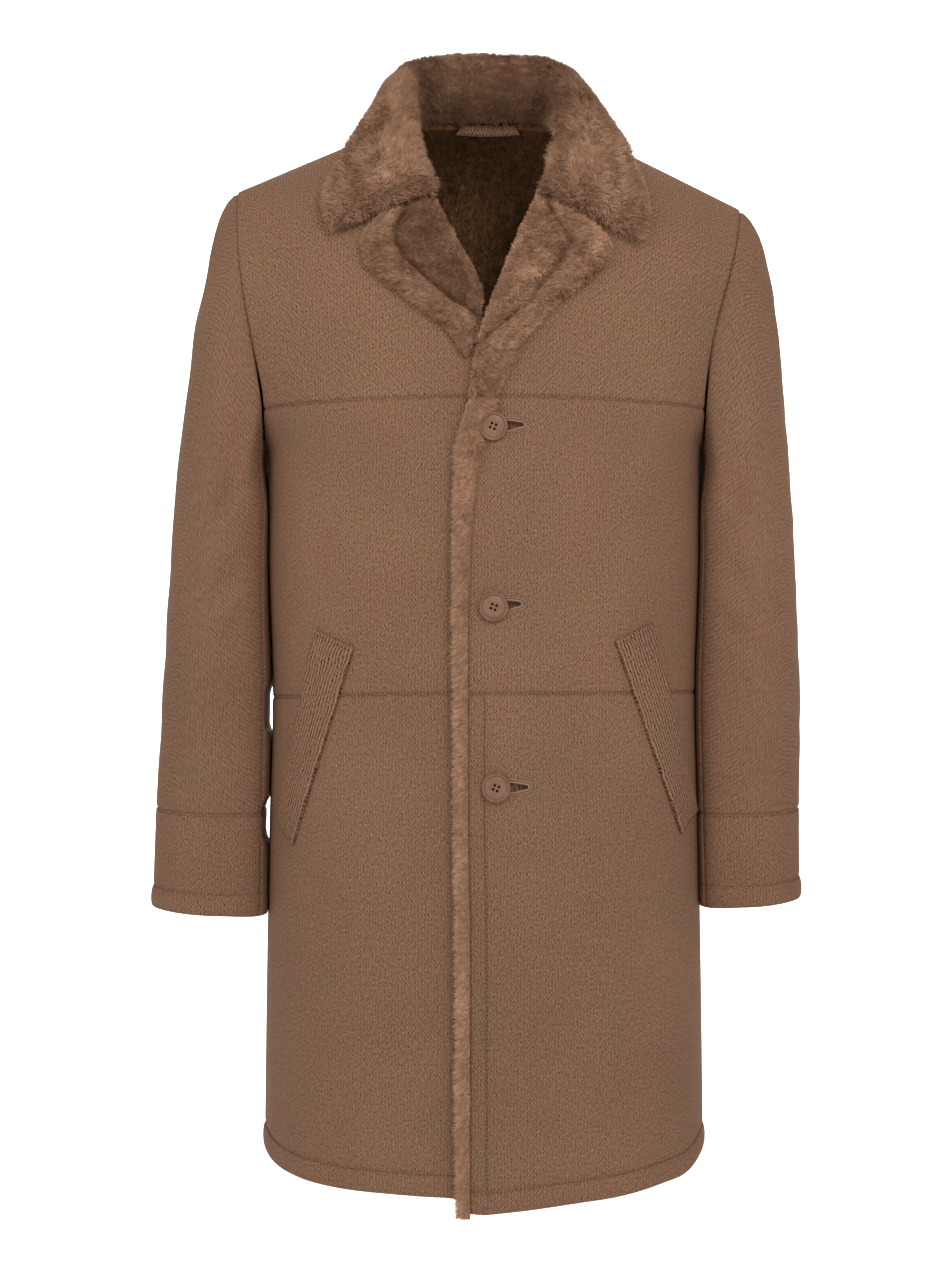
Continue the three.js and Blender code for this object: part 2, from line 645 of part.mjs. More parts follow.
function edgeFur() {
  const end = hem("right", 0) - EDGE_FUR_END.below;
  const start = EDGE_FUR[0].z - LYING_GAP;
  const zs = [...steps(26).map((v) => lerp(start, end + EDGE_FUR_END.round, v)), end + 7, end + 3, end];
  const across = [0, 0.2, 0.5, 0.8, 1];
  const grid = zs.map((z) => {
    const round = clamp((z - end) / EDGE_FUR_END.round);
    const pull = 3 * (1 - Math.sqrt(1 - (1 - round) ** 2));
    const xi = along(EDGE_FUR, "xi", z) + pull;
    const xo = along(EDGE_FUR, "xo", z);
    const lift = z < end + EDGE_FUR_END.liftOver ? EDGE_FUR_END.lift : LYING_GAP;
    return across.map((u) => {
      const p = skinPoint("front", lerp(xi, xo, u), z);
      p.y -= OVERLAP_LIFT + lift;
      return p;
    });
  });
  const normals = grid.map((r) => r.map(() => new THREE.Vector3(0, -1, 0)));
  const high = (i, j) => {
    const toSide = Math.min(across[j], 1 - across[j]) * (grid[i][4].x - grid[i][0].x);
    const t = clamp(toSide / EDGE_FUR_HIGH);
    return 0.8 + (EDGE_FUR_HIGH - 0.8) * Math.sqrt(1 - (1 - t) ** 2);
  };
  const strip = toSolid(facingOut(layered(grid, normals, () => 0, high)));
  return fromSolid(strip.subtract(clearOf(BUTTONS[0])));
}

// The room a button takes up, for the fur that lies over its side.
function clearOf({ x, z }) {
  const face = frontPoint("right", x, z);
  const room = new THREE.CylinderGeometry(BUTTON.radius + 0.4, BUTTON.radius + 0.4, BUTTON.thick + 1.6, 32);
  room.translate(face.x, face.y - BUTTON.out - BUTTON.thick / 2, face.z);
  return toSolid(bareGeometry(room));
}

// The collar: a stand round the neck, a fold, and a fall that lies over the shoulders.
function neckSeam(x) {
  const z = neckCurve(x);
  return skinPoint("back", x, z).setZ(z + 1);
}

function collarStations(sign) {
  const side = sign < 0 ? "left" : "right";
  const back = COLLAR.map((r) => {
    const seam = neckSeam(r.seamX);
    const edgeX = sign * (side === "left" ? r.edgeLeft : r.edgeRight);
    return [
      [sign * seam.x, seam.y, seam.z],
      [sign * r.foldX, r.foldY, r.foldZ],
      [edgeX, r.edgeY, restingZ(edgeX, r.edgeY) + r.edgeOut],
    ];
  });
  const front = COLLAR_FRONT[side].map((r) => {
    const seamX = along(FRONT_EDGE[side], "x", r.seamZ);
    const seam = frontPoint(side, seamX, Math.min(r.seamZ, ridge(seamX) - 0.5));
    const fold = frontPoint(side, sign * r.foldX, Math.min(r.foldZ, ridge(r.foldX) - 1));
    const edge = frontPoint(side, sign * r.edgeX, Math.min(r.edgeZ, ridge(sign * r.edgeX) - 1));
    return [
      [seam.x - sign * 1.5, seam.y - 1 - 2 * smooth(0, -30, r.seamZ), seam.z + 1],
      [fold.x, fold.y - r.foldOut, Math.max(fold.z, r.foldZ)],
      [edge.x, edge.y - r.edgeOut, edge.z + r.edgeOut],
    ];
  });
  return [...back, ...front].map((s) => s.map((p) => new THREE.Vector3(...p)));
}

function collarGrid() {
  const left = collarStations(-1).reverse();
  const right = collarStations(1);
  const stations = [...left, ...right.slice(1)];
  const curves = [0, 1, 2].map((k) => new THREE.CatmullRomCurve3(stations.map((s) => s[k]), false, "centripetal"));
  const at = (k, w) => curves[k].getPoint(w);
  return steps(30).map((w) => {
    const [seam, fold, edge] = [at(0, w), at(1, w), at(2, w)];
    const standUp = fold.clone().sub(seam);
    const fall = edge.clone().sub(fold);
    const turn = Math.min(6, standUp.length() * 0.35);
    const up = seam.clone().addScaledVector(standUp, 0.5);
    const beforeTop = fold.clone().addScaledVector(standUp.clone().normalize(), -turn);
    const out = fall.clone().setZ(0).normalize();
    const afterTop = fold.clone().addScaledVector(out, 7).addScaledVector(new THREE.Vector3(0, 0, 1), -1.5);
    const downA = fold.clone().addScaledVector(fall, 0.35).addScaledVector(out, 7);
    const downB = fold.clone().addScaledVector(fall, 0.7).addScaledVector(out, 4);
    const line = new THREE.CatmullRomCurve3([seam, up, beforeTop, fold, afterTop, downA, downB, edge], false, "centripetal");
    return line.getSpacedPoints(11);
  });
}

function collarSolid() {
  const grid = collarGrid();
  const normals = gridNormals(grid);
  const inward = new THREE.Vector3(0, -1, 0);
  if (normals[15][2].dot(inward) < 0) normals.forEach((r) => r.forEach((n) => n.negate()));
  const high = (i, j) => {
    const ends = Math.min(i, 30 - i) * 12;
    const edge = grid[i][j].distanceTo(grid[i][11]);
    const seam = grid[i][j].distanceTo(grid[i][0]) + FUR * (1 - smooth(6, 11, Math.abs(i - 15)));
    return furHeight(Math.min(ends, edge, seam));
  };
  return facingOut(layered(grid, normals, () => 0, high));
}

// A pocket welt lies on the front, and is made from the front's own points, moved out.
function welt(side) {
  const { sign } = SIDES[side];
  const corners = WELT[side];
  const grid = steps(10).map((v) =>
    steps(4).map((u) => {
      const top = [0, 1].map((k) => lerp(corners.topInner[k], corners.topOuter[k], u));
      const low = [0, 1].map((k) => lerp(corners.lowInner[k], corners.lowOuter[k], u));
      return frontPoint(side, sign * lerp(top[0], low[0], v), lerp(top[1], low[1], v));
    }),
  );
  const normals = gridNormals(grid);
  normals.forEach((r) => r.forEach((n) => n.y > 0 && n.negate()));
  const inside = (i, j) => Math.min(j, 4 - j) > 0 && Math.min(i, 10 - i) > 0;
  const high = (i, j) => LYING_GAP + WELT.thick - (inside(i, j) ? 0 : 1);
  return facingOut(layered(grid, normals, () => LYING_GAP, high));
}

// A four-hole button with a raised rim, standing on the lapped front over its buttonhole.
function button({ x, z }) {
  const { radius, rim, thick, dish, holeRing, holeRadius, out } = BUTTON;
  const profile = [
    [0, 0], [radius - 1.2, 0], [radius, 1.1], [radius, thick - 0.9], [radius - 0.8, thick],
    [radius - rim, thick], [radius - rim - 0.9, thick - dish], [0, thick - dish],
  ].map(([r, h]) => new THREE.Vector2(r, h));
  let solid = toSolid(facingOut(closedLathe(profile, 24)));
  for (let k = 0; k < 4; k++) {
    const a = (k + 0.5) * (Math.PI / 2) + 0.2;
    const drill = new THREE.CylinderGeometry(holeRadius, holeRadius, 3 * thick, 6);
    drill.translate(holeRing * Math.cos(a), 0, holeRing * Math.sin(a));
    solid = solid.subtract(toSolid(bareGeometry(drill)));
  }
  const face = frontPoint("right", x, z);
  const shankLength = OVERLAP_LIFT + out - 0.4;
  const shank = new THREE.CylinderGeometry(BUTTONHOLE.shankRadius - 0.5, BUTTONHOLE.shankRadius - 0.5, shankLength + 0.8, 12);
  shank.translate(0, -shankLength / 2 + 0.4, 0);
  const joined = fromSolid(solid.add(toSolid(bareGeometry(shank))));
  joined.rotateX(Math.PI);
  joined.translate(face.x, face.y - out, face.z);
  return joined;
}

const bareGeometry = (g) => {
  g.deleteAttribute("normal");
  g.deleteAttribute("uv");
  return mergeVertices(g, 1e-4);
};
const closedLathe = (profile, segments) => bareGeometry(new THREE.LatheGeometry(profile, segments));

// The slit of a buttonhole, pulled open round the shank and closing to a point at its far end.
function buttonholeCut({ x, z, hole }) {
  const high = BUTTONHOLE.halfHigh;
  const outline = new THREE.Shape();
  outline.moveTo(x - 4.5, z - high * 0.8);
  outline.quadraticCurveTo(x + hole * 0.55, z - high * 1.25, x + hole + 8, z);
  outline.quadraticCurveTo(x + hole * 0.55, z + high * 1.25, x - 4.5, z + high * 0.8);
  outline.closePath();
  const g = new THREE.ExtrudeGeometry(outline, { depth: 60, bevelEnabled: false, curveSegments: 6 });
  g.rotateX(Math.PI / 2);
  g.translate(0, -110, 0);
  return toSolid(facingOut(bareGeometry(g)));
}

function withButtonholes(geometry, low, high) {
  let solid = toSolid(geometry);
  for (const b of BUTTONS) if (b.z < high && b.z > low) solid = solid.subtract(buttonholeCut(b));
  return fromSolid(solid);
}

// The hanger loop is a flat strip sewn in at both ends across the back of the neck, inside.
function hangerLoop() {
  const { x, z, halfLong, halfTop, high, thick } = LOOP;
  const grid = steps(3).map((v) =>
    steps(12).map((u) => {
      const half = lerp(halfLong, halfTop, v);
      const px = x + lerp(-half, half, u);
      const wallY = onBody("back", px, neckCurve(px)).inner.y;
      const sag = 2 * Math.sin(Math.PI * u);
      return new THREE.Vector3(px, wallY - 1.2 - sag, z + v * high);
    }),
  );
  const normals = grid.map((r) => r.map(() => new THREE.Vector3(0, -1, 0)));
  return facingOut(layered(grid, normals, () => 0, () => thick));
}

const suede = { color: 0x8c6a52, roughness: 0.95, metalness: 0 };
const fur = { color: 0x86644c, roughness: 1, metalness: 0 };
const horn = { color: 0x8f6750, roughness: 0.4, metalness: 0 };

const coat = new THREE.Group();
coat.name = "shearling_coat";

function add(name, geometry, look) {
  const mesh = new THREE.Mesh(geometry, new THREE.MeshStandardMaterial(look));
  mesh.name = name;
  coat.add(mesh);
}

for (const side of ["left", "right"]) {
  add(`front_yoke_${side}`, yoke(side), suede);
  const holes = side === "right";
  const mid = midPanel(side);
  add(`front_panel_${side}`, holes ? withButtonholes(mid, WAIST_SEAM_Z, CHEST_SEAM_Z) : mid, suede);
  const low = skirt(side);
  add(`front_skirt_${side}`, holes ? withButtonholes(low, -990, WAIST_SEAM_Z) : low, suede);
  add(`upper_sleeve_${side}`, upperSleeve(side), suede);
  add(`under_sleeve_${side}`, underSleeve(side), suede);
  add(`upper_cuff_${side}`, cuff(side, UPPER), suede);
  add(`under_cuff_${side}`, cuff(side, UNDER), suede);
  add(`lapel_${side}`, lapel(side), fur);
  add(`pocket_welt_${side}`, welt(side), suede);
}
add("back", backPanel(), suede);
add("collar", collarSolid(), fur);
add("front_edge_fur", edgeFur(), fur);
BUTTONS.forEach((b, k) => add(`button_${k + 1}`, button(b), horn));
add("hanger_loop", hangerLoop(), suede);

export default coat;
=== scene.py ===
import bmesh
import bpy
import numpy as np
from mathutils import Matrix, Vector, kdtree


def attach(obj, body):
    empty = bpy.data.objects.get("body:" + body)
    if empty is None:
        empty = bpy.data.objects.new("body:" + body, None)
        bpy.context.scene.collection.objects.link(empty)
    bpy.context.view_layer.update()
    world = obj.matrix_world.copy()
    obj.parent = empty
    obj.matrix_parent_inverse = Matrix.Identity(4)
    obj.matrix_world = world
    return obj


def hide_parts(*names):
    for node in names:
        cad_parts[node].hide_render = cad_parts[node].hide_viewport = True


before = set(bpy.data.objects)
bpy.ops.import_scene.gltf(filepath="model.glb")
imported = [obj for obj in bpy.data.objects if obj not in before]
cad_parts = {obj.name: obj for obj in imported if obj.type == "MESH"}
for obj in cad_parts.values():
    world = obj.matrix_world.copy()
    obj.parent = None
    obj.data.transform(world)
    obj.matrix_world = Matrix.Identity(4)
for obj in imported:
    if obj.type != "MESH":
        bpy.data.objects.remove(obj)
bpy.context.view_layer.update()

SKIN = 6
SEAM_GAP = 0.08
LYING_GAP = 0.5
OVERLAP_LIFT = 7
FUR = 11
FUR_AT_EDGE = 1.2
SHOULDER_Y = 5
SHOULDER_DROP = 90
NECK_X, NECK_Z, NECK_SOFT = 74, 26, 25
UNDERARM_Z = -290
CHEST_SEAM_Z = -245
WAIST_SEAM_Z = -515
CUFF_SEAM_Z = -625
HEM_BAND = 20
STITCH_IN = 2.4  # from a seam to the stitching beside it
PLACKET = 14  # from the front edge to the stitching beside it
HEM_ROWS = np.array([HEM_BAND + d for d in (6, 3, 1.2, 0, -1.2, -4)] + [12, 8, 5, 3, 1.5, 0.6, 0])
YOKE_HIGH, BACK_LONG, SLEEVE_LONG = 230, 915, 480
SEAM_HALF = 205  # from the middle to the end of a cross seam
FREE_BULGE = 1.6  # of a wall's free edge
EDGE_HIGH = 6.8  # of the fur along the front edge
DEGREE = 1.05  # mm round the sleeve

# Height, half width, depth in front of and behind the shoulder plane.
BODY = [
    (60, 240, 54, 78), (0, 262, 72, 100), (-60, 268, 96, 120), (-166, 256, 126, 137),
    (-245, 226, 141, 139), (-290, 206, 145, 136), (-400, 204, 149, 130), (-515, 200, 151, 128),
    (-630, 203, 155, 136),
    (-800, 206, 161, 149), (-990, 208, 168, 158),
]
# Height and distance across of the armhole's edge.
ARMHOLE = {
    "left": [(-42, 234.5), (-98, 231), (-149, 224.5), (-197, 215), (-245, 206), (-290, 206)],
    "right": [(-59, 244), (-104, 236), (-140, 227), (-188, 214), (-245, 206), (-290, 206)],
}
# Height, outer and inner reach, half depth and its centre.
SLEEVE = {
    "left": [
        (-42, 235, 234, 6, 5), (-52, 244, 224, 26, 5), (-66, 251, 217, 40, 5), (-90, 257.5, 209, 52, 6),
        (-130, 265.5, 200, 65, 7), (-169, 273.5, 195, 74, 8), (-231, 281.5, 200, 82, 9),
        (-290, 289.5, 208, 85, 10), (-330, 293.5, 209.5, 84, 11), (-430, 300, 209, 77, 12),
        (-520, 305, 207, 69, 8), (-625, 310.5, 208.5, 61, 0), (-727, 313.5, 210, 54, -8),
    ],
    "right": [
        (-59, 245, 243, 6, 5), (-69, 254, 232, 26, 5), (-87, 263.5, 219, 42, 5),
        (-110, 269.5, 208, 54, 6),
        (-135, 274.5, 200, 64, 7), (-174, 279, 195, 74, 8), (-231, 284, 200, 82, 9),
        (-290, 289, 208, 85, 10), (-330, 292, 209.5, 84, 11), (-430, 297, 206.5, 77, 12),
        (-520, 300, 204, 69, 8), (-625, 298.5, 206, 61, 0), (-717, 298.5, 208.5, 54, -8),
    ],
}
SIGN = {"left": -1, "right": 1}
SHOULDER = {"left": (234.5, -42), "right": (244, -59)}
SLEEVE_END = {"left": -719, "right": -711}
# Distance from the middle and height of the hem.
HEM = {
    "left": [(0, -969), (82, -966), (139, -963), (174, -958), (197, -950), (208, -941)],
    "right": [(0, -982), (84, -974), (126, -970), (164, -963), (189, -957), (208, -941)],
    "back": [(0, -957), (120, -953), (180, -947), (208, -941)],
}
# Height and distance across of the front edges.
FRONT_EDGE = {
    "left": [
        (26, -74), (-10, -70), (-48, -60), (-75, -47), (-106, -33), (-139, -20), (-164, -12),
        (-190, 2), (-215, 16), (-245, 22), (-990, 22),
    ],
    "right": [
        (26, 74), (-10, 70), (-48, 60), (-75, 48), (-106, 35), (-139, 22), (-164, 13), (-190, 4),
        (-215, -2), (-245, -8), (-300, -14), (-440, -13.9), (-640, -13.7), (-720, -12.2), (-990, -12.2),
    ],
}
# Row number, inner edge (x, z) and outer edge (x, z) of each lapel.
LAPEL = {
    "left": [
        (0, 45, -58, 97, -77), (1, 37, -75, 112, -99), (2, 25, -98, 106, -121), (3, 11, -124, 82, -142),
        (4, 1, -150, 54, -164), (5, 4, -170, 33, -182), (6, 9, -194, 16, -208),
    ],
    "right": [
        (0, 48, -56, 101, -83.5), (1, 38, -77, 116, -107), (2, 28, -102, 99, -132),
        (3, 16, -132, 76, -149), (4, 5, -160, 50, -175), (5, -3, -186, 31, -198),
        (6, -8, -214, 20, -222),
        (7, -13, -243.5, 10, -244.5),
    ],
}
# Row number of a lapel and the share across it where its crease runs.
LAPEL_CREASE = {
    "left": [(0, 0.5), (1.6, 0.6), (4, 0.48), (5, 0.05), (6, -0.4)],
    "right": [(0, 0.2), (0.5, 0.27), (1.3, 0.54), (3.7, 0.58), (5, 0.2), (6, -0.3), (7, -0.5)],
}
# Height, inner and outer x of the fur along the front edge.
EDGE_FUR = [
    (-245, -13, 10), (-262, -19, 4), (-290, -24, -3), (-340, -26.5, -9), (-390, -27.5, -12.5),
    (-440, -27.5, -14.4), (-560, -26.5, -14.4), (-655, -26, -14.4), (-720, -24.5, -12.8),
    (-990, -24.5, -12.8),
]
# Collar: seam x, fold (x, y, z), edge x left and right, edge y, edge out.
COLLAR = [
    (0, 0, 68, 92.5, 0, 0, 97, 3), (30, 33, 64, 90.5, 44, 44, 94, 3),
    (56, 59.5, 48, 84.5, 79, 84, 80, 3), (71, 75, 22, 70, 98, 109, 44, 5),
]
# Collar in front: seam z, fold (x, z, out), edge (x, z, out).
COLLAR_FRONT = {
    "left": [
        (22, 75, 47, 14, 116, -8, 6), (0, 71, 16, 11, 137, -37, 4.5),
        (-26, 63, -18, 8, 146, -64, 4.5), (-50, 48, -54, 6, 142, -95, 4),
    ],
    "right": [
        (22, 79, 47, 14, 125, -8, 5), (0, 76, 16, 10, 141, -40, 3),
        (-26, 68, -18, 6, 150, -70, 2.5), (-48, 51, -52, 3, 146, -106, 2.5),
    ],
}
# x and z of each button, and of the far end of its buttonhole.
BUTTONS = [(8, -272, 36, -270.5), (8.5, -435.7, 33.5, -433), (10.5, -599, 40, -598.5)]
BUTTONHOLES = {"front_panel_right": (1, 2), "front_skirt_right": (3,)}
# Radius and height along a button, its thread and its holes.
BUTTON_PROFILE = [
    (0.01, 0.0), (11.0, 0.0), (12.4, 0.6), (13.0, 1.5), (13.0, 2.3), (12.7, 3.1), (12.1, 3.5), (11.5, 3.4),
    (11.1, 2.9), (10.8, 2.0), (10.5, 1.7), (10.2, 2.0), (9.6, 2.4), (6, 2.4), (3, 2.3), (0.01, 2.3),
]
SHANK_PROFILE = [(0.01, 0), (2.1, 0), (1.7, 2.5), (1.7, 4.5), (2.6, 7), (3.9, 7.4), (3.9, 8.4), (0.01, 8.4)]
HOLE_PROFILE = [(0.01, -3), (1.25, -3), (1.25, 3), (0.01, 3)]
BUTTON_OUT, SHANK_IN, HOLES_OUT = 2.0, 6.2, 4.8  # from the face of the front
HOLES_APART, HOLES_TURN = 2.8, 0.4
# Welt corners: top inner, top outer, low inner, low outer.
WELT = {
    "left": [(118, -473), (154, -456), (175, -655), (193, -636)],
    "right": [(118.5, -467), (153.5, -450), (181, -645), (198, -626)],
}
# First and last angle of the two cuts of a sleeve, and how wide they are.
CUTS = {"upper": (-131.5, 149.5, 300), "under": (150.5, 227.5, 85)}

# Soft troughs of the fronts: from (x, z) to (x, z), width and depth.
FRONT_FOLDS = [
    (-150, -200, -120, -300, 16, 1.6), (160, -215, 128, -310, 16, 1.6),
    (-165, -300, -150, -420, 14, 1.8), (172, -310, 158, -430, 14, 1.8),
    (40, -470, 120, -495, 12, 1.0), (-60, -480, -130, -500, 12, 1.0),
    (-70, -560, -60, -800, 26, 1.8), (62, -600, 74, -840, 26, 1.8),
    (-150, -700, -140, -900, 22, 1.8), (150, -690, 146, -900, 22, 1.8),
    (-30, -880, -34, -955, 16, 1.2), (104, -890, 108, -950, 16, 1.2),
]
BACK_FOLDS = [
    (-120, -150, -90, -330, 22, 2.2), (120, -160, 88, -330, 22, 2.2),
    (-155, -300, -140, -450, 16, 2.0), (158, -300, 142, -460, 16, 2.0),
    (-60, -520, -66, -800, 28, 2.4), (56, -540, 64, -820, 28, 2.4),
    (-140, -660, -134, -880, 22, 2.0), (142, -650, 136, -890, 22, 2.0),
]
# Soft troughs of the sleeves: from (angle, z) to (angle, z), width in mm and depth.
SLEEVE_FOLDS = [
    (60, -130, 100, -230, 12, 1.8), (35, -180, 75, -290, 12, 1.6), (110, -330, 60, -400, 12, 2.0),
    (120, -400, 70, -445, 11, 2.2), (118, -455, 60, -480, 11, 1.8), (30, -520, 80, -600, 14, 1.4),
    (-60, -140, -95, -260, 14, 2.0), (-70, -380, -110, -430, 13, 2.0), (-60, -450, -110, -480, 13, 1.6),
]


def curve(rows, column, key=0):
    """A column of a table as a smooth curve of its key column."""
    table = sorted(rows, key=lambda r: r[key])
    k = np.array([r[key] for r in table], float)
    v = np.array([r[column] for r in table], float)
    here = np.diff(v) / np.diff(k)
    w = np.diff(k)

    def limited(m):
        return np.sign(here) * np.clip(m * np.sign(here), 0, 3 * np.abs(here))

    between = (here[:-1] + here[1:]) / 2
    first = limited(np.append(here[:1], between))
    last = limited(np.append(between, here[-1:]))

    def at(place):
        t = np.clip(place, k[0], k[-1])
        i = np.clip(np.searchsorted(k, t, side="left") - 1, 0, len(w) - 1)
        s = (t - k[i]) / w[i]
        ends = v[i] * (1 + 2 * s) * (1 - s) ** 2 + v[i + 1] * s * s * (3 - 2 * s)
        return ends + first[i] * w[i] * s * (1 - s) ** 2 + last[i] * w[i] * s * s * (s - 1)

    return at


def lerp(a, b, t):
    return a + (b - a) * t


def smooth(a, b, t):
    s = np.clip((t - a) / (b - a), 0, 1)
    return s * s * (3 - 2 * s)


def bell(off, wide):
    return np.exp(-((off / wide) ** 2))


def dome(t):
    return np.sqrt(1 - (1 - t) ** 2)


def lattice(down, across):
    return np.meshgrid(down, across, indexing="ij")


def vec(x, y, z):
    return np.stack(np.broadcast_arrays(x, y, z), axis=-1).astype(float)


def unit(v):
    return v / np.maximum(np.linalg.norm(v, axis=-1, keepdims=True), 1e-9)


def troughs(table, a, b):
    """Depth of soft troughs at places given by two coordinates."""
    total = np.zeros(np.broadcast(a, b).shape)
    for a0, b0, a1, b1, wide, deep in table:
        run = (a1 - a0) ** 2 + (b1 - b0) ** 2
        t = np.clip(((a - a0) * (a1 - a0) + (b - b0) * (b1 - b0)) / run, 0, 1)
        off = np.hypot(a - lerp(a0, a1, t), b - lerp(b0, b1, t))
        ridge_side = bell(off - 1.9 * wide, wide)
        total = total + deep * (bell(off, wide) - 0.35 * ridge_side)
    return total


def uneven(a, b, turn):
    """A slow unevenness of a surface, about 1 mm in all."""
    waves = [(61, 1.1, 0.3), (43, 2.4, 1.9), (83, 0.2, 4.0), (34, 2.0, 5.1), (52, 3.0, 2.2)]
    total = 0
    for length, way, phase in waves:
        along = a * np.cos(way + turn) + b * np.sin(way + turn)
        total = total + np.sin(along * 2 * np.pi / length + phase)
    return 0.16 * total


POWER = {"front": 2.35, "back": 2.2}
TOWARD = {"front": -1, "back": 1}
FOLDS = {"front": FRONT_FOLDS, "back": BACK_FOLDS}
half_at = curve(BODY, 1)
deep_at = {"front": curve(BODY, 2), "back": curve(BODY, 3)}
armhole_at = {s: curve(ARMHOLE[s], 1) for s in SIGN}
hem_at = {s: curve(HEM[s], 1) for s in HEM}
edge_at = {s: curve(FRONT_EDGE[s], 1) for s in SIGN}
sleeve_at = {s: [curve(SLEEVE[s], c) for c in (1, 2, 3, 4)] for s in SIGN}


def ridge(x):
    slopes = [(NECK_Z - SHOULDER[s][1]) / (SHOULDER[s][0] - NECK_X) for s in ("left", "right")]
    fall = lerp(slopes[0], slopes[1], smooth(-60, 60, x))
    return NECK_Z + fall * (np.hypot(NECK_X, NECK_SOFT) - np.hypot(x, NECK_SOFT))


def on_body(face, x, z):
    """Outer and inner face of the wall of the body."""
    half = half_at(z)
    q = np.clip(np.abs(x) / half, 0, 1)
    power = POWER[face]
    t = np.clip((ridge(x) - z) / SHOULDER_DROP, 0, 1)
    bulge = (1 - q**power) ** (1 / power) * dome(t)
    free = (1 - smooth(0.72, 0.86, q)) * smooth(0, 1, t)
    dent = free * (troughs(FOLDS[face], x, z) + uneven(x, z, 0 if face == "front" else 1))
    deep = deep_at[face](z)
    outer = vec(x, SHOULDER_Y + TOWARD[face] * (deep * bulge - dent), z)
    inner_y = SHOULDER_Y + TOWARD[face] * ((deep - SKIN) * bulge - dent)
    return outer, vec(x * (1 - SKIN / half), inner_y, z - SKIN * (1 - t))


def front_pair(side, x, z):
    outer, inner = on_body("front", x, z)
    if side == "right":
        lift = OVERLAP_LIFT * (1 - smooth(26, 96, x)) * smooth(-60, -200, z)
        outer[..., 1] -= lift
        inner[..., 1] -= lift
    return outer, inner


def front_point(side, x, z):
    return front_pair(side, x, z)[0]


def resting_z(x, y):
    """Height of the body's outer surface over a point of the floor plan."""
    face = "front" if y < SHOULDER_Y else "back"
    low, high = ridge(x) - 150, ridge(x)
    for _ in range(30):
        z = (low + high) / 2
        if abs(on_body(face, x, z)[0][1] - SHOULDER_Y) > abs(y - SHOULDER_Y):
            low = z
        else:
            high = z
    return (low + high) / 2


def round_x(face, x0, x1, z, u):
    """x at a share of the way round from x0 to x1, spread evenly in angle."""
    half = half_at(z)
    power = POWER[face] / 2

    def angle(x):
        return np.sign(x) * np.arcsin(np.minimum(1, np.abs(x) / half) ** power)

    a = lerp(angle(x0), angle(x1), u)
    return np.sign(a) * half * np.abs(np.sin(a)) ** (1 / power)


def neck_curve(x):
    return NECK_Z + 7 * (1 - (x / NECK_X) ** 2)


def chest_seam(x):
    return CHEST_SEAM_Z - 6 * (x / SEAM_HALF) ** 2


def waist_seam(side, x):
    return WAIST_SEAM_Z - (5 if side == "left" else 0) * (x / SEAM_HALF) ** 2


def band_relief(d):
    """Relief of a turned hem: d is the distance above its edge."""
    dip = 1.3 * bell(d - HEM_BAND, 1.6)
    share = np.clip(d / HEM_BAND, 0, 1)
    roll = 2 * np.sin(np.pi * share**0.8) ** 0.6
    return np.where(d > HEM_BAND + 6, 0, np.where(d < HEM_BAND, roll, 0) - dip)


NEAR = [0, 0.5, 1.1, 1.8, 2.4, 3, 3.9, 5.5, 8]
NEAR_PLACKET = [*NEAR[:-2], 4.8, 5.4, 5.8, 6.1, 6.4, 6.7, 7.0, 7.4, 8, 9.5, 12]


def spread(length, step=6, first=NEAR, last=NEAR):
    """Shares along a length, closer together at its two ends."""
    middle = np.arange(first[-1] + step, length - last[-1] - step * 0.6, step)
    return np.concatenate([first, middle, length - np.array(last)[::-1]]) / length


def down_to_hem(high, room, step):
    """Shares from a seam down to a hem, closer together at the seam and in the hem's band."""
    return np.concatenate([NEAR, np.arange(14, high - HEM_BAND - room, step), high - HEM_ROWS]) / high


def line_lengths(grid, axis):
    """Distance run along the lines of a grid."""
    legs = np.linalg.norm(np.diff(grid, axis=axis), axis=-1)
    zero = np.zeros_like(np.take(legs, [0], axis=axis))
    return np.concatenate([zero, np.cumsum(legs, axis=axis)], axis=axis)


def grid_normals(grid):
    du = np.gradient(grid, axis=1)
    dv = np.gradient(grid, axis=0)
    return unit(np.cross(du, dv))


def front_normals(grid):
    """Normals that face forward."""
    normals = grid_normals(grid)
    return np.where(normals[..., 1:2] > 0, -normals, normals)


def to_front(points):
    return np.broadcast_to([0.0, -1.0, 0.0], points.shape)


def body_way(outer):
    """The level way out from the middle of the coat."""
    return unit(outer * [1, 1, 0] - [0, SHOULDER_Y, 0])


def back_top(x, shoulder):
    return np.where(np.abs(x) < NECK_X, neck_curve(x), shoulder)


def run_of(path):
    return np.concatenate([[0], np.cumsum(np.linalg.norm(np.diff(path, axis=0), axis=1))])


def on_line(at, run, values):
    """Values at distances run along a line."""
    return np.stack([np.interp(at, run, values[:, k]) for k in range(3)], axis=-1)


# Meshes.
def quads_of(rows, cols):
    i, j = lattice(np.arange(rows - 1), np.arange(cols - 1))
    a = (i * cols + j).ravel()
    return np.stack([a, a + 1, a + cols + 1, a + cols], axis=-1)


def rim(rows, cols):
    top = np.arange(cols - 1)
    right = np.arange(rows - 1) * cols + cols - 1
    low = (rows - 1) * cols + np.arange(cols - 1, 0, -1)
    left = np.arange(rows - 1, 0, -1) * cols
    return np.concatenate([top, right, low, left])


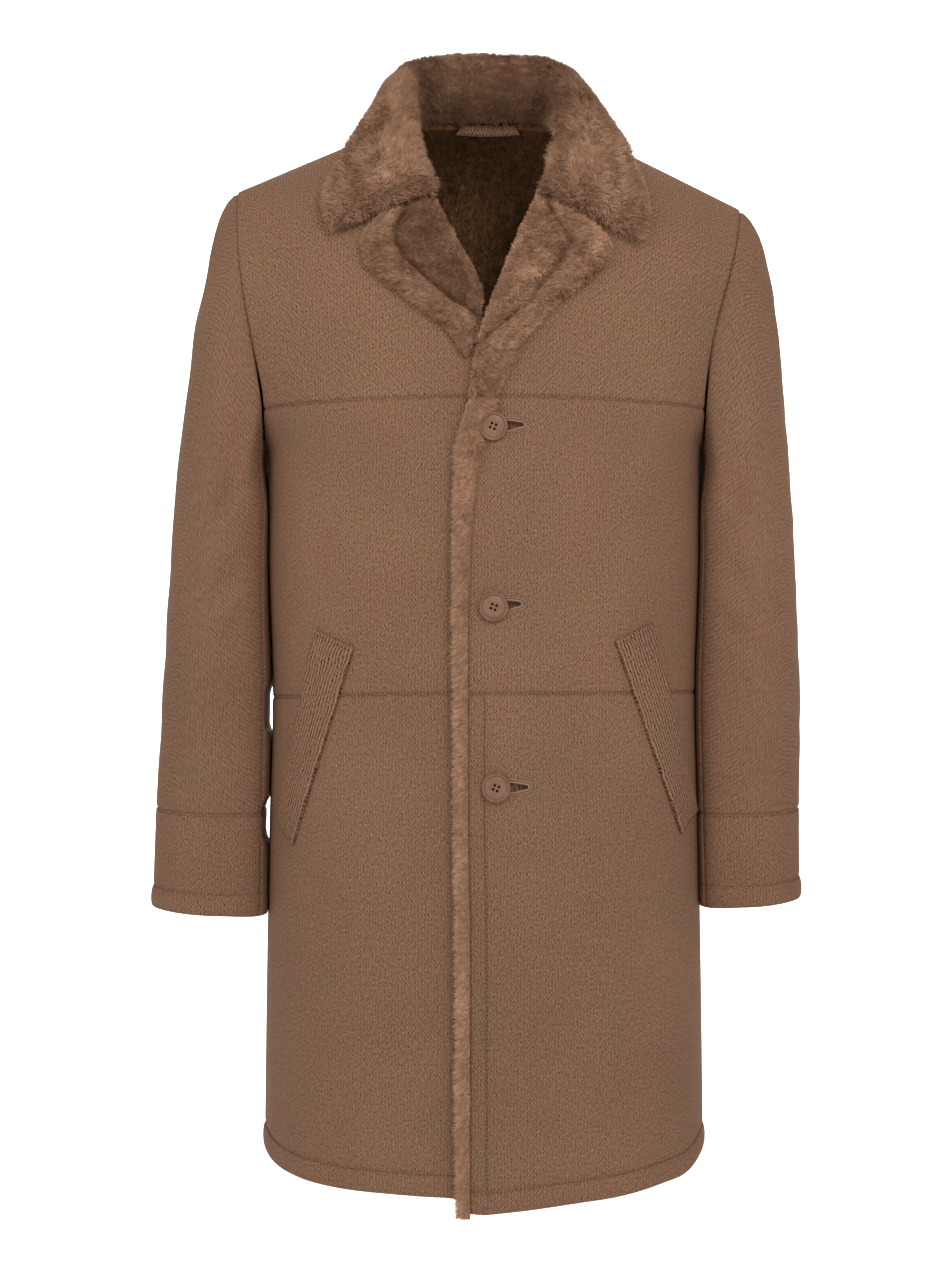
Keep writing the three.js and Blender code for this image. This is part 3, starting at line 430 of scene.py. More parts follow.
def new_piece(name, points, faces, materials, uv=None, which=None, colors=None, normals=None):
    """A mesh object from points in mm and faces that all have the same number of corners."""
    mesh = bpy.data.meshes.new(name)
    count, corners = faces.shape
    mesh.vertices.add(len(points))
    mesh.vertices.foreach_set("co", (points / 1000).astype(np.float32).ravel())
    mesh.loops.add(count * corners)
    mesh.loops.foreach_set("vertex_index", faces.astype(np.int32).ravel())
    mesh.polygons.add(count)
    mesh.polygons.foreach_set("loop_start", np.arange(0, count * corners, corners, dtype=np.int32))
    mesh.polygons.foreach_set("use_smooth", np.ones(count, bool))
    if which is not None:
        mesh.polygons.foreach_set("material_index", which.astype(np.int32))
    mesh.update(calc_edges=True)
    for m in materials:
        mesh.materials.append(m)
    if uv is not None:
        layer = mesh.uv_layers.new(name="cloth")
        layer.data.foreach_set("uv", uv[faces.ravel()].astype(np.float32).ravel())
    if colors is not None:
        layer = mesh.color_attributes.new("tone", "FLOAT_COLOR", "POINT")
        layer.data.foreach_set("color", colors.astype(np.float32).ravel())
    if normals is not None:
        mesh.normals_split_custom_set_from_vertices(normals.astype(np.float32).tolist())
    piece = bpy.data.objects.new(name, mesh)
    bpy.context.collection.objects.link(piece)
    return piece


def facing_out(points, faces):
    a, b, c = (points[faces[:, k]] for k in (0, 1, 2))
    volume = np.einsum("ij,ij->i", a, np.cross(b, c)).sum()
    if faces.shape[1] == 4:
        d = points[faces[:, 3]]
        volume += np.einsum("ij,ij->i", a, np.cross(c, d)).sum()
    return faces if volume > 0 else faces[:, ::-1]


def closed_wall(name, outer, inner, materials, uv, free=(), pile_top=False):
    """A closed wall between two grids, with its free edges rounded out."""
    rows, cols = outer.shape[:2]
    n = rows * cols
    ring = rim(rows, cols)
    push = np.zeros_like(outer)
    sides = {"top": (np.s_[0], np.s_[1]), "low": (np.s_[-1], np.s_[-2])}
    sides.update({"first": (np.s_[:, 0], np.s_[:, 1]), "last": (np.s_[:, -1], np.s_[:, -2])})
    for side in free:
        edge, within = sides[side]
        push[edge] += FREE_BULGE * unit(outer[edge] - outer[within])
    push = push.reshape(-1, 3)[ring]
    flat_outer, flat_inner = outer.reshape(-1, 3), inner.reshape(-1, 3)
    points = [flat_outer, flat_inner]
    uvs = [uv.reshape(-1, 2)] * 2
    rings = [ring]
    for k, t in enumerate((0.2, 0.5, 0.8)):
        points.append(lerp(flat_outer[ring], flat_inner[ring], t) + push * np.sin(np.pi * t))
        uvs.append(uv.reshape(-1, 2)[ring])
        rings.append(2 * n + k * len(ring) + np.arange(len(ring)))
    rings.append(n + ring)
    faces = [quads_of(rows, cols), n + quads_of(rows, cols)[:, ::-1]]
    which = [np.zeros(len(faces[0])), np.ones(len(faces[1]))]
    for k in range(4):
        r0, r1 = rings[k], rings[k + 1]
        faces.append(np.stack([np.roll(r0, -1), r0, r1, np.roll(r1, -1)], axis=-1))
        band = np.full(len(ring), 1 if k == 3 else 0)
        if pile_top:
            band[: cols - 1] = 1
        which.append(band)
    points = np.concatenate(points)
    faces = facing_out(points, np.concatenate(faces))
    return new_piece(name, points, faces, materials, uv=np.concatenate(uvs), which=np.concatenate(which))


def cloth_uv(grid, start=None, from_row=None):
    """Coordinates on the cut leather in mm: across, level with the floor, and down.
    start is where each row begins; with from_row, all rows are spaced as that one."""
    flat = grid * [1, 1, 0]
    across = line_lengths(flat, 1)
    if from_row is not None:
        across = np.broadcast_to(across[from_row], across.shape)
    if start is not None:
        across = across + start
    return np.stack([across, -line_lengths(grid, 0)], axis=-1)


def soften(outer, inner, seams, stitched=()):
    """Draws the leather in at its seams and at the stitching beside them."""
    inward = unit(inner - outer)
    down, across = line_lengths(outer, 0), line_lengths(outer, 1)
    distance = {"top": down, "low": down[-1:] - down, "first": across, "last": across[:, -1:] - across}
    for side in seams:
        d = distance[side]
        dip = 1.3 * bell(d, 1.4) - 0.3 * bell(d - 9, 5)
        if side in stitched:
            dip = dip + 0.5 * bell(d - STITCH_IN, 0.8)
        outer = outer + inward * dip[..., None]
    return outer


def dress(piece, slot, *nodes):
    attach(piece, "root")
    if nodes:
        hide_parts(*nodes)
    return piece


def declare(outer):
    """Works out the size that the sheet was cut to, as measured over its outer face; the result is not
    kept.
    """
    wide = line_lengths(outer, 1)[:, -1].max() / 1000
    long = line_lengths(outer, 0)[-1].max() / 1000
    du = np.diff(outer, axis=1)[:-1]
    dv = np.diff(outer, axis=0)[:, :-1]
    area = np.linalg.norm(np.cross(du, dv), axis=-1).sum() / 1e6
    area = float(np.clip(area, 0.31 * wide * long, wide * long))


# Materials.
class Nodes:
    """A short way to build a material's nodes."""

    def __init__(self, name, **values):
        self.material = bpy.data.materials.new(name)
        self.material.use_nodes = True
        self.tree = self.material.node_tree
        self.shader = self.tree.nodes["Principled BSDF"]
        for key, value in values.items():
            self.shader.inputs[key.replace("_", " ")].default_value = value

    def add(self, kind, inputs=(), **settings):
        node = self.tree.nodes.new(kind)
        for key, value in settings.items():
            setattr(node, key, value)
        for socket, value in dict(inputs).items():
            if isinstance(value, bpy.types.NodeSocket):
                self.tree.links.new(value, node.inputs[socket])
            else:
                node.inputs[socket].default_value = value
        return node

    def math(self, operation, a, b=0.0):
        return self.add("ShaderNodeMath", {0: a, 1: b}, operation=operation).outputs[0]

    def plus(self, a, b):
        return self.math("ADD", a, b)

    def times(self, a, b):
        return self.math("MULTIPLY", a, b)

    def wave(self, value, pitch):
        return self.math("SINE", self.times(value, 2 * np.pi / pitch))

    def place(self):
        return self.add("ShaderNodeTexCoord").outputs["Object"]

    def noise(self, scale, detail=2.0, rough=0.5, vector=None):
        vector = self.place() if vector is None else vector
        inputs = {"Scale": scale, "Detail": detail, "Roughness": rough, "Vector": vector}
        return self.add("ShaderNodeTexNoise", inputs).outputs["Fac"]

    def blend(self, share, a, b, how="MIX"):
        inputs = {0: share, 6: a, 7: b}
        return self.add("ShaderNodeMix", inputs, data_type="RGBA", blend_type=how).outputs[2]

    def ramp(self, value, low, high, to_low=0.0, to_high=1.0):
        inputs = {0: value, 1: low, 2: high, 3: to_low, 4: to_high}
        return self.add("ShaderNodeMapRange", inputs).outputs[0]

    def scaled(self, color, factor):
        inputs = {0: color, "Scale": factor}
        return self.add("ShaderNodeVectorMath", inputs, operation="SCALE").outputs[0]

    def finish(self, color, height=None, distance=0.0, strength=0.0):
        self.tree.links.new(color, self.shader.inputs["Base Color"])
        if height is not None:
            inputs = {"Height": height, "Distance": distance, "Strength": strength}
            bump = self.add("ShaderNodeBump", inputs)
            self.tree.links.new(bump.outputs[0], self.shader.inputs["Normal"])
        return self.material


NAP = {"Specular_IOR_Level": 0.15, "Sheen_Weight": 0.03, "Sheen_Tint": (0.9, 0.6, 0.4, 1)}
RIB_PITCH, ROW_PITCH = 3.0, 4.1
RED_SUEDE, OLIVE_SUEDE = (0.262, 0.134, 0.083, 1), (0.248, 0.14, 0.081, 1)


def suede_material(name, worn=0.0, ribbed=0.3):
    """Suede with fine broken ribs, a grain, slow changes of colour, and painted shade that darkens it
    towards the hem.
    """
    m = Nodes(name, Roughness=0.95, Sheen_Roughness=0.6, **NAP)
    uv = m.add("ShaderNodeUVMap", uv_map="cloth").outputs[0]
    across, down = m.add("ShaderNodeSeparateXYZ", {0: uv}).outputs[:2]
    u = m.plus(across, m.times(m.noise(80, 2), 4.0))
    v = m.plus(down, m.times(m.noise(90, 2), 7.0))
    rib, dot = m.wave(u, RIB_PITCH), m.wave(v, ROW_PITCH)
    cells = m.add("ShaderNodeVectorMath", {0: uv, 1: (0.5, 0.42, 0)}, operation="MULTIPLY").outputs[0]
    grain = m.noise(1.0, 2, 0.7, cells)
    knit = m.plus(m.times(m.times(rib, dot), 0.8), m.times(rib, ribbed))
    knit = m.times(knit, m.ramp(m.noise(160, 2), 0.35, 0.65, 0.5, 1.1))
    color = m.blend(m.ramp(m.noise(16, 4, 0.65), 0.36, 0.64), OLIVE_SUEDE, RED_SUEDE)
    tone = m.ramp(m.noise(9, 2), 0.3, 0.7, 0.94, 1.06)
    # Painted shade: the suede is made darker towards the hem, where less light falls.
    level = m.add("ShaderNodeSeparateXYZ", {0: m.place()}).outputs[2]
    tone = m.times(tone, m.ramp(level, -0.97, -0.15, 0.93, 1.04))
    speck = m.times(m.math("SUBTRACT", grain, 0.5), 2.1)
    value = m.plus(m.times(knit, 0.46), m.plus(speck, 1.0 - worn))
    color = m.scaled(color, m.times(value, tone))
    return m.finish(color, m.plus(m.times(knit, 0.5), m.times(grain, 0.8)), 0.0006, 0.7)


def pile_material(name, dark, light):
    """Short curly pile of the skin's inner side."""
    m = Nodes(name, Roughness=1.0, Specular_IOR_Level=0.05)
    clumps, fibres = m.noise(120, 3, 0.65), m.noise(700, 2, 0.6)
    share = m.ramp(m.plus(m.times(clumps, 0.5), m.times(fibres, 0.5)), 0.36, 0.64)
    color = m.blend(share, dark, light)
    return m.finish(color, m.plus(clumps, m.times(fibres, 0.5)), 0.002, 0.8)


def fur_material(name):
    """Fur whose tone comes with each strand."""
    m = Nodes(name, Roughness=0.9, Sheen_Roughness=0.5, **NAP)
    tone = m.add("ShaderNodeAttribute", attribute_name="tone").outputs["Color"]
    patches = m.ramp(m.noise(28, 3, 0.6), 0.35, 0.65)
    color = m.blend(patches, (0.43, 0.225, 0.132, 1), (0.53, 0.30, 0.18, 1))
    return m.finish(m.blend(1.0, color, tone, "MULTIPLY"))


def horn_material(name):
    m = Nodes(name, Roughness=0.38, Specular_IOR_Level=0.45, Coat_Weight=0.08, Coat_Roughness=0.25)
    cloud = m.noise(90, 3, 0.6)
    color = m.blend(m.ramp(cloud, 0.35, 0.65), (0.235, 0.11, 0.06, 1), (0.3, 0.15, 0.086, 1))
    return m.finish(color, cloud, 0.0001, 0.2)


def thread_material(name, low, high):
    m = Nodes(name, Roughness=0.7, Specular_IOR_Level=0.3)
    return m.finish(m.blend(m.noise(1500, 1), low, high), m.noise(2500, 1), 0.0002, 0.5)


SUEDE = suede_material("suede")
WELT_SUEDE = suede_material("welt_suede", 0.03, 1.2)
# Painted shade: the lining pile is coloured far darker than the fur outside, for the shade inside the coat.
INNER_PILE_IN_PAINTED_SHADE = pile_material("inner_pile_in_painted_shade", (0.127, 0.058, 0.02, 1), (0.385, 0.19, 0.082, 1))
# Painted shade: the roots under the strands are coloured darker, for the shade down in the fur.
ROOT_PILE_IN_PAINTED_SHADE = pile_material("root_pile_in_painted_shade", (0.2, 0.1, 0.06, 1), (0.42, 0.235, 0.145, 1))
FUR_TIPS = fur_material("fur_strands")
HORN = horn_material("button_horn")
THREAD = thread_material("thread", (0.08, 0.04, 0.024, 1), (0.15, 0.08, 0.05, 1))
HOLE_THREAD = thread_material("buttonhole_thread", (0.3, 0.175, 0.11, 1), (0.44, 0.28, 0.19, 1))
DARK_THREAD = thread_material("shank_thread", (0.05, 0.024, 0.014, 1), (0.1, 0.052, 0.032, 1))

# Stitching. Each ring of a stitch: place along it, and thickness.
STITCH_RINGS = [(-0.5, 0.0), (-0.36, 0.85), (0.0, 1.0), (0.36, 0.85), (0.5, 0.0)]
STITCH_SIDES = 5


def stitch_form():
    turn = 2 * np.pi * np.arange(STITCH_SIDES) / STITCH_SIDES
    points = [(place, thick * np.cos(a), thick * np.sin(a)) for place, thick in STITCH_RINGS for a in turn]
    quads = []
    for r in range(len(STITCH_RINGS) - 1):
        for k in range(STITCH_SIDES):
            a, b = r * STITCH_SIDES + k, r * STITCH_SIDES + (k + 1) % STITCH_SIDES
            quads += [(a, b, b + STITCH_SIDES), (a, b + STITCH_SIDES, a + STITCH_SIDES)]
    return np.array(points), np.array(quads)


def stitches(name, lines, material=THREAD, size=(1.7, 0.6), pitch=3.5, turn=0.0):
    """Rows of single stitches. Each line is points and the way out of the surface at them."""
    form, form_faces = stitch_form()
    points, faces, count = [], [], 0
    for path, out in lines:
        run = run_of(path)
        number = max(2, int(run[-1] / pitch))
        at = (np.arange(number) + 0.5) * run[-1] / number
        up = unit(on_line(at, run, out))
        tangent = unit(on_line(at + 0.5, run, path) - on_line(at - 0.5, run, path))
        side = unit(np.cross(up, tangent))
        turned = tangent * np.cos(turn) + side * np.sin(turn)
        side = side * np.cos(turn) - tangent * np.sin(turn)
        spot = (on_line(at, run, path) + up * (size[1] * 0.5 - 0.1))[:, None]
        local = form[None] * [size[0], size[1], size[1]]
        for k, way in enumerate((turned, side, up)):
            spot = spot + local[..., k : k + 1] * way[:, None]
        points.append(spot.reshape(-1, 3))
        starts = count + np.arange(number) * len(form)
        faces.append((form_faces[None] + starts[:, None, None]).reshape(-1, 3))
        count += number * len(form)
    piece = new_piece(name, np.concatenate(points), np.concatenate(faces), [material])
    return dress(piece, "suede")


def row_line(outer, inner, distance, side="low", trim=1):
    """The line on a grid at a distance from its first or last row, with the way out of the wall."""
    down = line_lengths(outer, 0)
    if side == "low":
        down = down[-1:] - down
    out = unit(outer - inner)
    path, away = [], []
    for j in range(trim, outer.shape[1] - trim):
        order = np.argsort(down[:, j])
        path.append(on_line(distance, down[order, j], outer[order, j]))
        away.append(on_line(distance, down[order, j], out[order, j]))
    return np.array(path), np.array(away)


def sewn_panel(name, outer, inner, uv, lines=(), free=(), pile=None):
    piece = closed_wall(name, outer, inner, [SUEDE, INNER_PILE_IN_PAINTED_SHADE], uv, free, pile is not None)
    dress(piece, "suede", name)
    sewn = [stitches(f"{name}_stitches", lines)] if lines else []
    for number in BUTTONHOLES.get(name, ()):
        cut_buttonhole(piece, *BUTTONS[number - 1])
        sewn += buttonhole(number, *BUTTONS[number - 1])
    if pile is not None:
        sewn.append(pile())
    declare(outer)


# Fur: seeds, numbers of strands, and the turns of a strand's three corners.
SEEDS = {"collar": 11, "lapel_left": 21, "lapel_right": 22, "front_edge": 31, "neck": 41}
STRANDS = {"collar": 50000, "lapel": 26000, "front_edge": 23000, "neck": 9000}
CORNER_TURNS = (0, 2.094, 4.189)


def furrows(shape, cells, rng):
    """Smooth seeded unevenness over a grid, between -1 and 1."""
    coarse = rng.uniform(-1, 1, (cells[0] + 1, cells[1] + 1))
    u = np.linspace(0, cells[0], shape[0])
    v = np.linspace(0, cells[1], shape[1])
    i, j = np.minimum(u.astype(int), cells[0] - 1), np.minimum(v.astype(int), cells[1] - 1)
    s, t = smooth(0, 1, u - i)[:, None], smooth(0, 1, v - j)[None]
    top = lerp(coarse[i][:, j], coarse[i + 1][:, j], s)
    low = lerp(coarse[i][:, j + 1], coarse[i + 1][:, j + 1], s)
    return lerp(top, low, t)


def lumps_of(shape, coarse, fine, rng, shares=(0.7, 0.3)):
    return shares[0] * furrows(shape, coarse, rng) + shares[1] * furrows(shape, fine, rng)


def scatter(grid, count, rng):
    """Places spread evenly over a grid, as row and column numbers with their fractions."""
    du = grid[:-1, 1:] - grid[:-1, :-1]
    dv = grid[1:, :-1] - grid[:-1, :-1]
    area = np.linalg.norm(np.cross(du, dv), axis=-1)
    total = np.cumsum(area.ravel())
    pick = np.searchsorted(total, (np.arange(count) + rng.random(count)) / count * total[-1])
    i, j = np.divmod(np.minimum(pick, area.size - 1), area.shape[1])
    return i + rng.random(count), j + rng.random(count)


def sample(field, at):
    i, j = at[0].astype(int), at[1].astype(int)
    s, t = at[0] - i, at[1] - j
    if field.ndim == 3:
        s, t = s[:, None], t[:, None]
    top = lerp(field[i, j], field[i + 1, j], s)
    low = lerp(field[i, j + 1], field[i + 1, j + 1], s)
    return lerp(top, low, t)


def strands(
    name, grid, normals, comb, length, tone, count, rng, lean=0.9, wild=0.34, wide=0.85, clump=20
):
    """Fur strands as slim spikes that lie down along a combed direction."""
    at = scatter(grid, count, rng)
    p, n, c = sample(grid, at), unit(sample(normals, at)), sample(comb, at)
    long, shade = sample(length, at), sample(tone, at)
    c = c - n * np.einsum("ij,ij->i", c, n)[:, None]
    noise = rng.normal(0, wild, (count, 3))
    way = unit(n + lean * c + noise)
    long = long * rng.uniform(0.65, 1.2, count)
    side = unit(np.cross(way, n + rng.normal(0, 0.2, (count, 3))))
    other = np.cross(way, side)
    thick = wide * rng.uniform(0.7, 1.25, count)[:, None]
    root = p - n * 0.6
    corners = [root + thick * (np.cos(a) * side + np.sin(a) * other) / 2 for a in CORNER_TURNS]
    tip = p + way * long[:, None] - n * (0.12 * long[:, None])
    guides = max(8, count // clump)
    chosen = rng.choice(count, guides, replace=False)
    tree = kdtree.KDTree(guides)
    for number, k in enumerate(chosen):
        tree.insert(p[k], number)
    tree.balance()
    nearest = chosen[[tree.find(q)[1] for q in p]]
    pull = rng.uniform(0.1, 0.5, count)[:, None]
    tip = lerp(tip, tip[nearest], pull)
    shade = shade * lerp(0.84, 1.2, rng.random(count))[nearest]
    points = np.stack([*corners, tip], axis=1).reshape(-1, 3)
    base = np.arange(count)[:, None] * 4
    faces = np.concatenate([base + f for f in ([0, 1, 3], [1, 2, 3], [2, 0, 3])])
    face_normals = np.stack([n] * 3 + [unit(n + 0.35 * way)], axis=1).reshape(-1, 3)
    shade = shade * rng.uniform(0.8, 1.2, count)
    # Painted shade: each strand is darker at its root, down in the fur, and lighter at its tip.
    ends = np.stack([shade * 0.72] * 3 + [shade * 1.3], axis=1).reshape(-1)
    colors = np.stack([ends, ends**1.1, ends**1.22, np.ones_like(ends)], axis=-1)
    piece = new_piece(name, points, faces, [FUR_TIPS], colors=colors, normals=face_normals)
    return dress(piece, "fur")


def fur_height(d):
    t = np.clip(d / FUR, 0, 1)
    return FUR_AT_EDGE + (FUR - FUR_AT_EDGE) * dome(t)


def meet_back(faces, seam, toward):
    """Puts the points of a side or shoulder seam where front and back meet."""
    for face in faces:
        face[..., 1] = np.where(seam, SHOULDER_Y + toward * SEAM_GAP / 2, face[..., 1])


# Fronts.
def front_panel(side, kind):
    """The panel from the chest seam to the waist seam, or the skirt from there to the hem."""
    skirt = kind == "skirt"
    name = f"front_{kind}_{side}"

    def top(x):
        return (waist_seam(side, x) if skirt else chest_seam(x)) - SEAM_GAP / 2

    def low(x):
        return hem_at[side](np.abs(x)) if skirt else waist_seam(side, x) + SEAM_GAP / 2

    rows = down_to_hem(450, 9, 6.5) if skirt else spread(265, 6.5)
    share_v, share_u = lattice(rows, spread(250, 6.5, first=NEAR_PLACKET))
    x = np.zeros_like(share_v)
    for _ in range(5):
        z = lerp(top(x), low(x), share_v)
        reach = np.where(z > UNDERARM_Z, armhole_at[side](z), half_at(z))
        x = round_x("front", edge_at[side](z), SIGN[side] * reach, z, share_u)
    outer, inner = front_pair(side, x, z)
    on_side = (share_u == 1) & (z < UNDERARM_Z + 0.5)
    meet_back((outer, inner), on_side, -1)
    if skirt:
        outer = soften(outer, inner, ["top", "last"])
        under = smooth(-18, -40, x) if side == "left" else 1
        outer = outer + body_way(outer) * (under * band_relief(z - low(x)))[..., None]
        lines = [row_line(outer, inner, HEM_BAND + 0.5)]
    else:
        outer = soften(outer, inner, ["top", "low", "last"], ["low"])
        lines = [row_line(outer, inner, STITCH_IN)]
    if side == "right":
        off = line_lengths(outer, 1) - PLACKET
        deep = 1.3 if skirt else 0.6
        outer = outer + unit(inner - outer) * (deep * bell(off, 2.2))[..., None]
    if side == "right" and skirt:
        z_line = np.linspace(WAIST_SEAM_Z - 3, float(low(0)) + HEM_BAND + 3, 80)
        path = front_point("right", edge_at["right"](z_line) + PLACKET, z_line) + [0, 1.0, 0]
        lines.append((path, to_front(path)))
    free = ["first", "low"] if skirt else ["first"]
    sewn_panel(name, outer, inner, cloth_uv(outer, SIGN[side] * outer[:, :1, 0]), lines, free)


def yoke(side):
    sign = SIGN[side]
    shoulder_x, shoulder_z = SHOULDER[side]
    first = [0, 0.005, 0.011, 0.018, 0.024, 0.03, 0.04, 0.055]
    turn = np.concatenate([first, np.arange(0.085, 1.5, 0.062)])
    over = SHOULDER_DROP * (1 - np.cos(turn)) / YOKE_HIGH
    down = np.arange(over[-1] + 0.026, 0.955, 0.026)
    rows = np.concatenate([over, down, 1 - np.array(NEAR)[::-1] / YOKE_HIGH])
    share_s, share_u = lattice(rows, spread(190, 6))
    outer_z = lerp(shoulder_z, chest_seam(206) + SEAM_GAP / 2, share_s)
    inner_z = lerp(NECK_Z, chest_seam(0) + SEAM_GAP / 2, share_s)
    reach = np.where(share_s == 0, shoulder_x, armhole_at[side](outer_z))
    x = lerp(edge_at[side](inner_z), sign * reach, share_u)
    bow = ridge(x) - lerp(NECK_Z, shoulder_z, share_u)
    z = lerp(inner_z, outer_z, share_u) + bow * (1 - share_s)
    along_seam = chest_seam(x) + SEAM_GAP / 2 + (1 - share_s) * YOKE_HIGH
    z = np.where(share_s > 0.9, lerp(z, along_seam, smooth(0.9, 0.96, share_s)), z)
    outer, inner = front_pair(side, x, z)
    meet_back((outer, inner), share_s == 0, -1)
    outer = soften(outer, inner, ["top", "low", "last"], ["low"])
    lines = [row_line(outer, inner, STITCH_IN)]
    uv = cloth_uv(outer, sign * outer[:, :1, 0])
    sewn_panel(f"front_yoke_{side}", outer, inner, uv, lines, ["first"])


# The back is one piece, from the shoulders and the back of the neck to the hem.
def back_panel():
    turn = np.concatenate([[0, 0.005, 0.011, 0.018, 0.026, 0.04], np.arange(0.07, 1.5, 0.06)])
    over = SHOULDER_DROP * (1 - np.cos(turn))
    down = np.arange(over[-1] + 7, BACK_LONG - HEM_BAND - 9, 9)
    half = spread(240, 8, first=[0], last=NEAR)
    columns = np.concatenate([-half[:0:-1], half])
    drop, share = lattice(np.concatenate([over, down, BACK_LONG - HEM_ROWS]), columns)
    sign = np.where(share < 0, -1, 1)

    def pick(left, right):
        return np.where(share < 0, left, right)

    shoulder_x = pick(SHOULDER["left"][0], SHOULDER["right"][0])
    shoulder_z = pick(SHOULDER["left"][1], SHOULDER["right"][1])

    def top(x):
        return back_top(x, ridge(sign * np.minimum(np.abs(x), shoulder_x)))

    def falling(top_z, x):
        return lerp(top_z, hem_at["back"](np.abs(x)), drop / BACK_LONG)

    outer_z = falling(shoulder_z, sign * shoulder_x)
    armhole = pick(armhole_at["left"](outer_z), armhole_at["right"](outer_z))
    reach = np.where(outer_z > UNDERARM_Z, armhole, half_at(outer_z))
    reach = np.where(drop == 0, shoulder_x, reach)
    x = share * reach
    for _ in range(6):
        even = round_x("back", 0, sign * reach, falling(top(x), x), np.abs(share))
        x = lerp(share * reach, even, smooth(40, 260, drop))
    z = falling(top(x), x)
    outer, inner = on_body("back", x, z)
    on_shoulder = (drop == 0) & (np.abs(x) > NECK_X - 0.1)
    on_side = (np.abs(share) == 1) & (z < UNDERARM_Z + 0.5)
    meet_back((outer, inner), on_shoulder | on_side, 1)
    outer = soften(outer, inner, ["first", "last"])
    outer = outer + body_way(outer) * band_relief(z - hem_at["back"](np.abs(x)))[..., None]
    lines = [row_line(outer, inner, HEM_BAND + 0.5)]
    sewn_panel("back", outer, inner, cloth_uv(outer, outer[:, :1, 0]), lines, ["low"], neck_pile)


def neck_pile():
    """Pile of the lining where it shows in the neck, its tone kept low as painted shade."""
    rng = np.random.default_rng(SEEDS["neck"])
    u, v = np.linspace(-1, 1, 60)[None], np.linspace(0, 1, 70)[:, None]
    x = 84 * u + 0 * v
    grid = on_body("back", x, lerp(back_top(x, ridge(x)) - 1, -215, v))[1]
    lumps = lumps_of(x.shape, (16, 14), (34, 30), rng, (0.6, 0.4))
    at_seam = smooth(0.05, 0, v)
    comb = vec(0.5 * furrows(x.shape, (12, 10), rng), 0, -0.8 + 1.9 * at_seam + 0 * x)
    length = 5.0 + lumps + 2.5 * at_seam
    # Painted shade: a low tone darkens the neck pile for the shade inside the coat.
    tone = 0.34 + 0.07 * lumps
    normals, count = front_normals(grid), STRANDS["neck"]
    return strands("neck_pile", grid, normals, comb, length, tone, count, rng, wide=1.2)


# Sleeves. The angle runs round the sleeve: 0 outside, 90 in front, 180 inside, 270 behind.
def armhole_pair(side, angle):
    z = lerp(SHOULDER[side][1], UNDERARM_Z, (1 - np.cos(angle)) / 2)
    x = SIGN[side] * armhole_at[side](z)
    ahead = (np.sin(angle) >= 0)[..., None]
    return [np.where(ahead, f, b) for f, b in zip(on_body("front", x, z), on_body("back", x, z))]


def tube_point(side, angle, z):
    outer, inner, deep, mid = (c(z) for c in sleeve_at[side])
    x = (outer + inner) / 2 + (outer - inner) / 2 * np.cos(angle)
    full = 1 - 0.45 * smooth(0, -0.6, np.cos(angle)) * smooth(-215, -300, z)
    round_y = np.sign(np.sin(angle)) * np.abs(np.sin(angle)) ** full
    return vec(SIGN[side] * x, mid - deep * round_y, z)


def beside_body(side, y, z):
    """How far out the body's side reaches, with the room that a hanging sleeve leaves beside it."""
    ahead = y < SHOULDER_Y
    deep = np.where(ahead, deep_at["front"](z), deep_at["back"](z))
    power = np.where(ahead, POWER["front"], POWER["back"])
    off = np.clip(np.abs(y - SHOULDER_Y) / deep, 0, 1)
    beside = half_at(z) * (1 - off**power) ** (1 / power) + 0.3
    upper_slit = smooth(-500, -515, z) * smooth(-562, -546, z)
    slits = upper_slit + smooth(-608, -622, z) * smooth(-662, -648, z)
    return lerp(beside, half_at(z) + 5.5, slits) if side == "left" else beside


def sleeve_pair(side, angle, z):
    sign = SIGN[side]
    start, start_inner = armhole_pair(side, angle)
    offset = start - tube_point(side, angle, start[..., 2])
    below = start[..., 2] - z
    outer = tube_point(side, angle, z) + offset * (1 - smooth(0, 130, below))[..., None]
    outer[..., 0] += sign * 0.5
    lean = 8 * smooth(0.2, -0.9, np.cos(angle)) * smooth(-292, -350, z)
    loose = np.abs(outer[..., 0]) - lean
    body = beside_body(side, outer[..., 1], z)
    touching = (loose + body + np.hypot(loose - body, 1.6)) / 2
    outer[..., 0] = sign * lerp(np.abs(outer[..., 0]), touching, smooth(-292, -300, z))
    own = vec(-sign * np.cos(angle), np.sin(angle), 0) * SKIN
    turned = np.maximum(smooth(0, 60, below), smooth(0, -0.7, np.cos(angle)))[..., None]
    inner = lerp(start_inner - start, own, turned) + outer
    free = smooth(10, 60, below) * smooth(-0.75, -0.35, np.cos(angle)) * (1 - smooth(-605, -620, z))
    table = [(a0 * DEGREE, z0, a1 * DEGREE, z1, w, d) for a0, z0, a1, z1, w, d in SLEEVE_FOLDS]
    round_mm = np.degrees(angle) * DEGREE
    dent = free * (troughs(table, round_mm, z) + uneven(round_mm, z, 2 + sign))
    push = unit(own) * dent[..., None]
    return outer + push, inner + push


def sleeve_seam_z(a):
    return CUFF_SEAM_Z - 3 * np.sin(a) + 2 * np.cos(a)


def sleeve_end_z(side, a):
    return SLEEVE_END[side] - 3 * np.sin(a) + 3 * np.cos(a)


def sleeve_shares(cut, rows):
    """Shares down the sleeve, and angles, for one of its two cuts."""
    start, end, wide = CUTS[cut]
    down, share = lattice(rows, spread(wide, 5.5))
    return down, np.radians(lerp(start, end, share))


def sleeve(side, cut):
    first = np.array([0, 0.5, 1.1, 1.8, 3, 5]) / SLEEVE_LONG
    last = 1 - np.array(NEAR)[::-1] / SLEEVE_LONG
    rows = np.concatenate([first, np.linspace(0.017, 0.975, 70), last])
    down, angle = sleeve_shares(cut, rows)
    top = armhole_pair(side, angle)[0][..., 2] - (0.5 if cut == "under" else 0)
    outer, inner = sleeve_pair(side, angle, lerp(top, sleeve_seam_z(angle) + SEAM_GAP / 2, down))
    outer = soften(outer, inner, ["top", "low", "first", "last"])
    sewn_panel(f"{cut}_sleeve_{side}", outer, inner, cloth_uv(outer, None, 50))


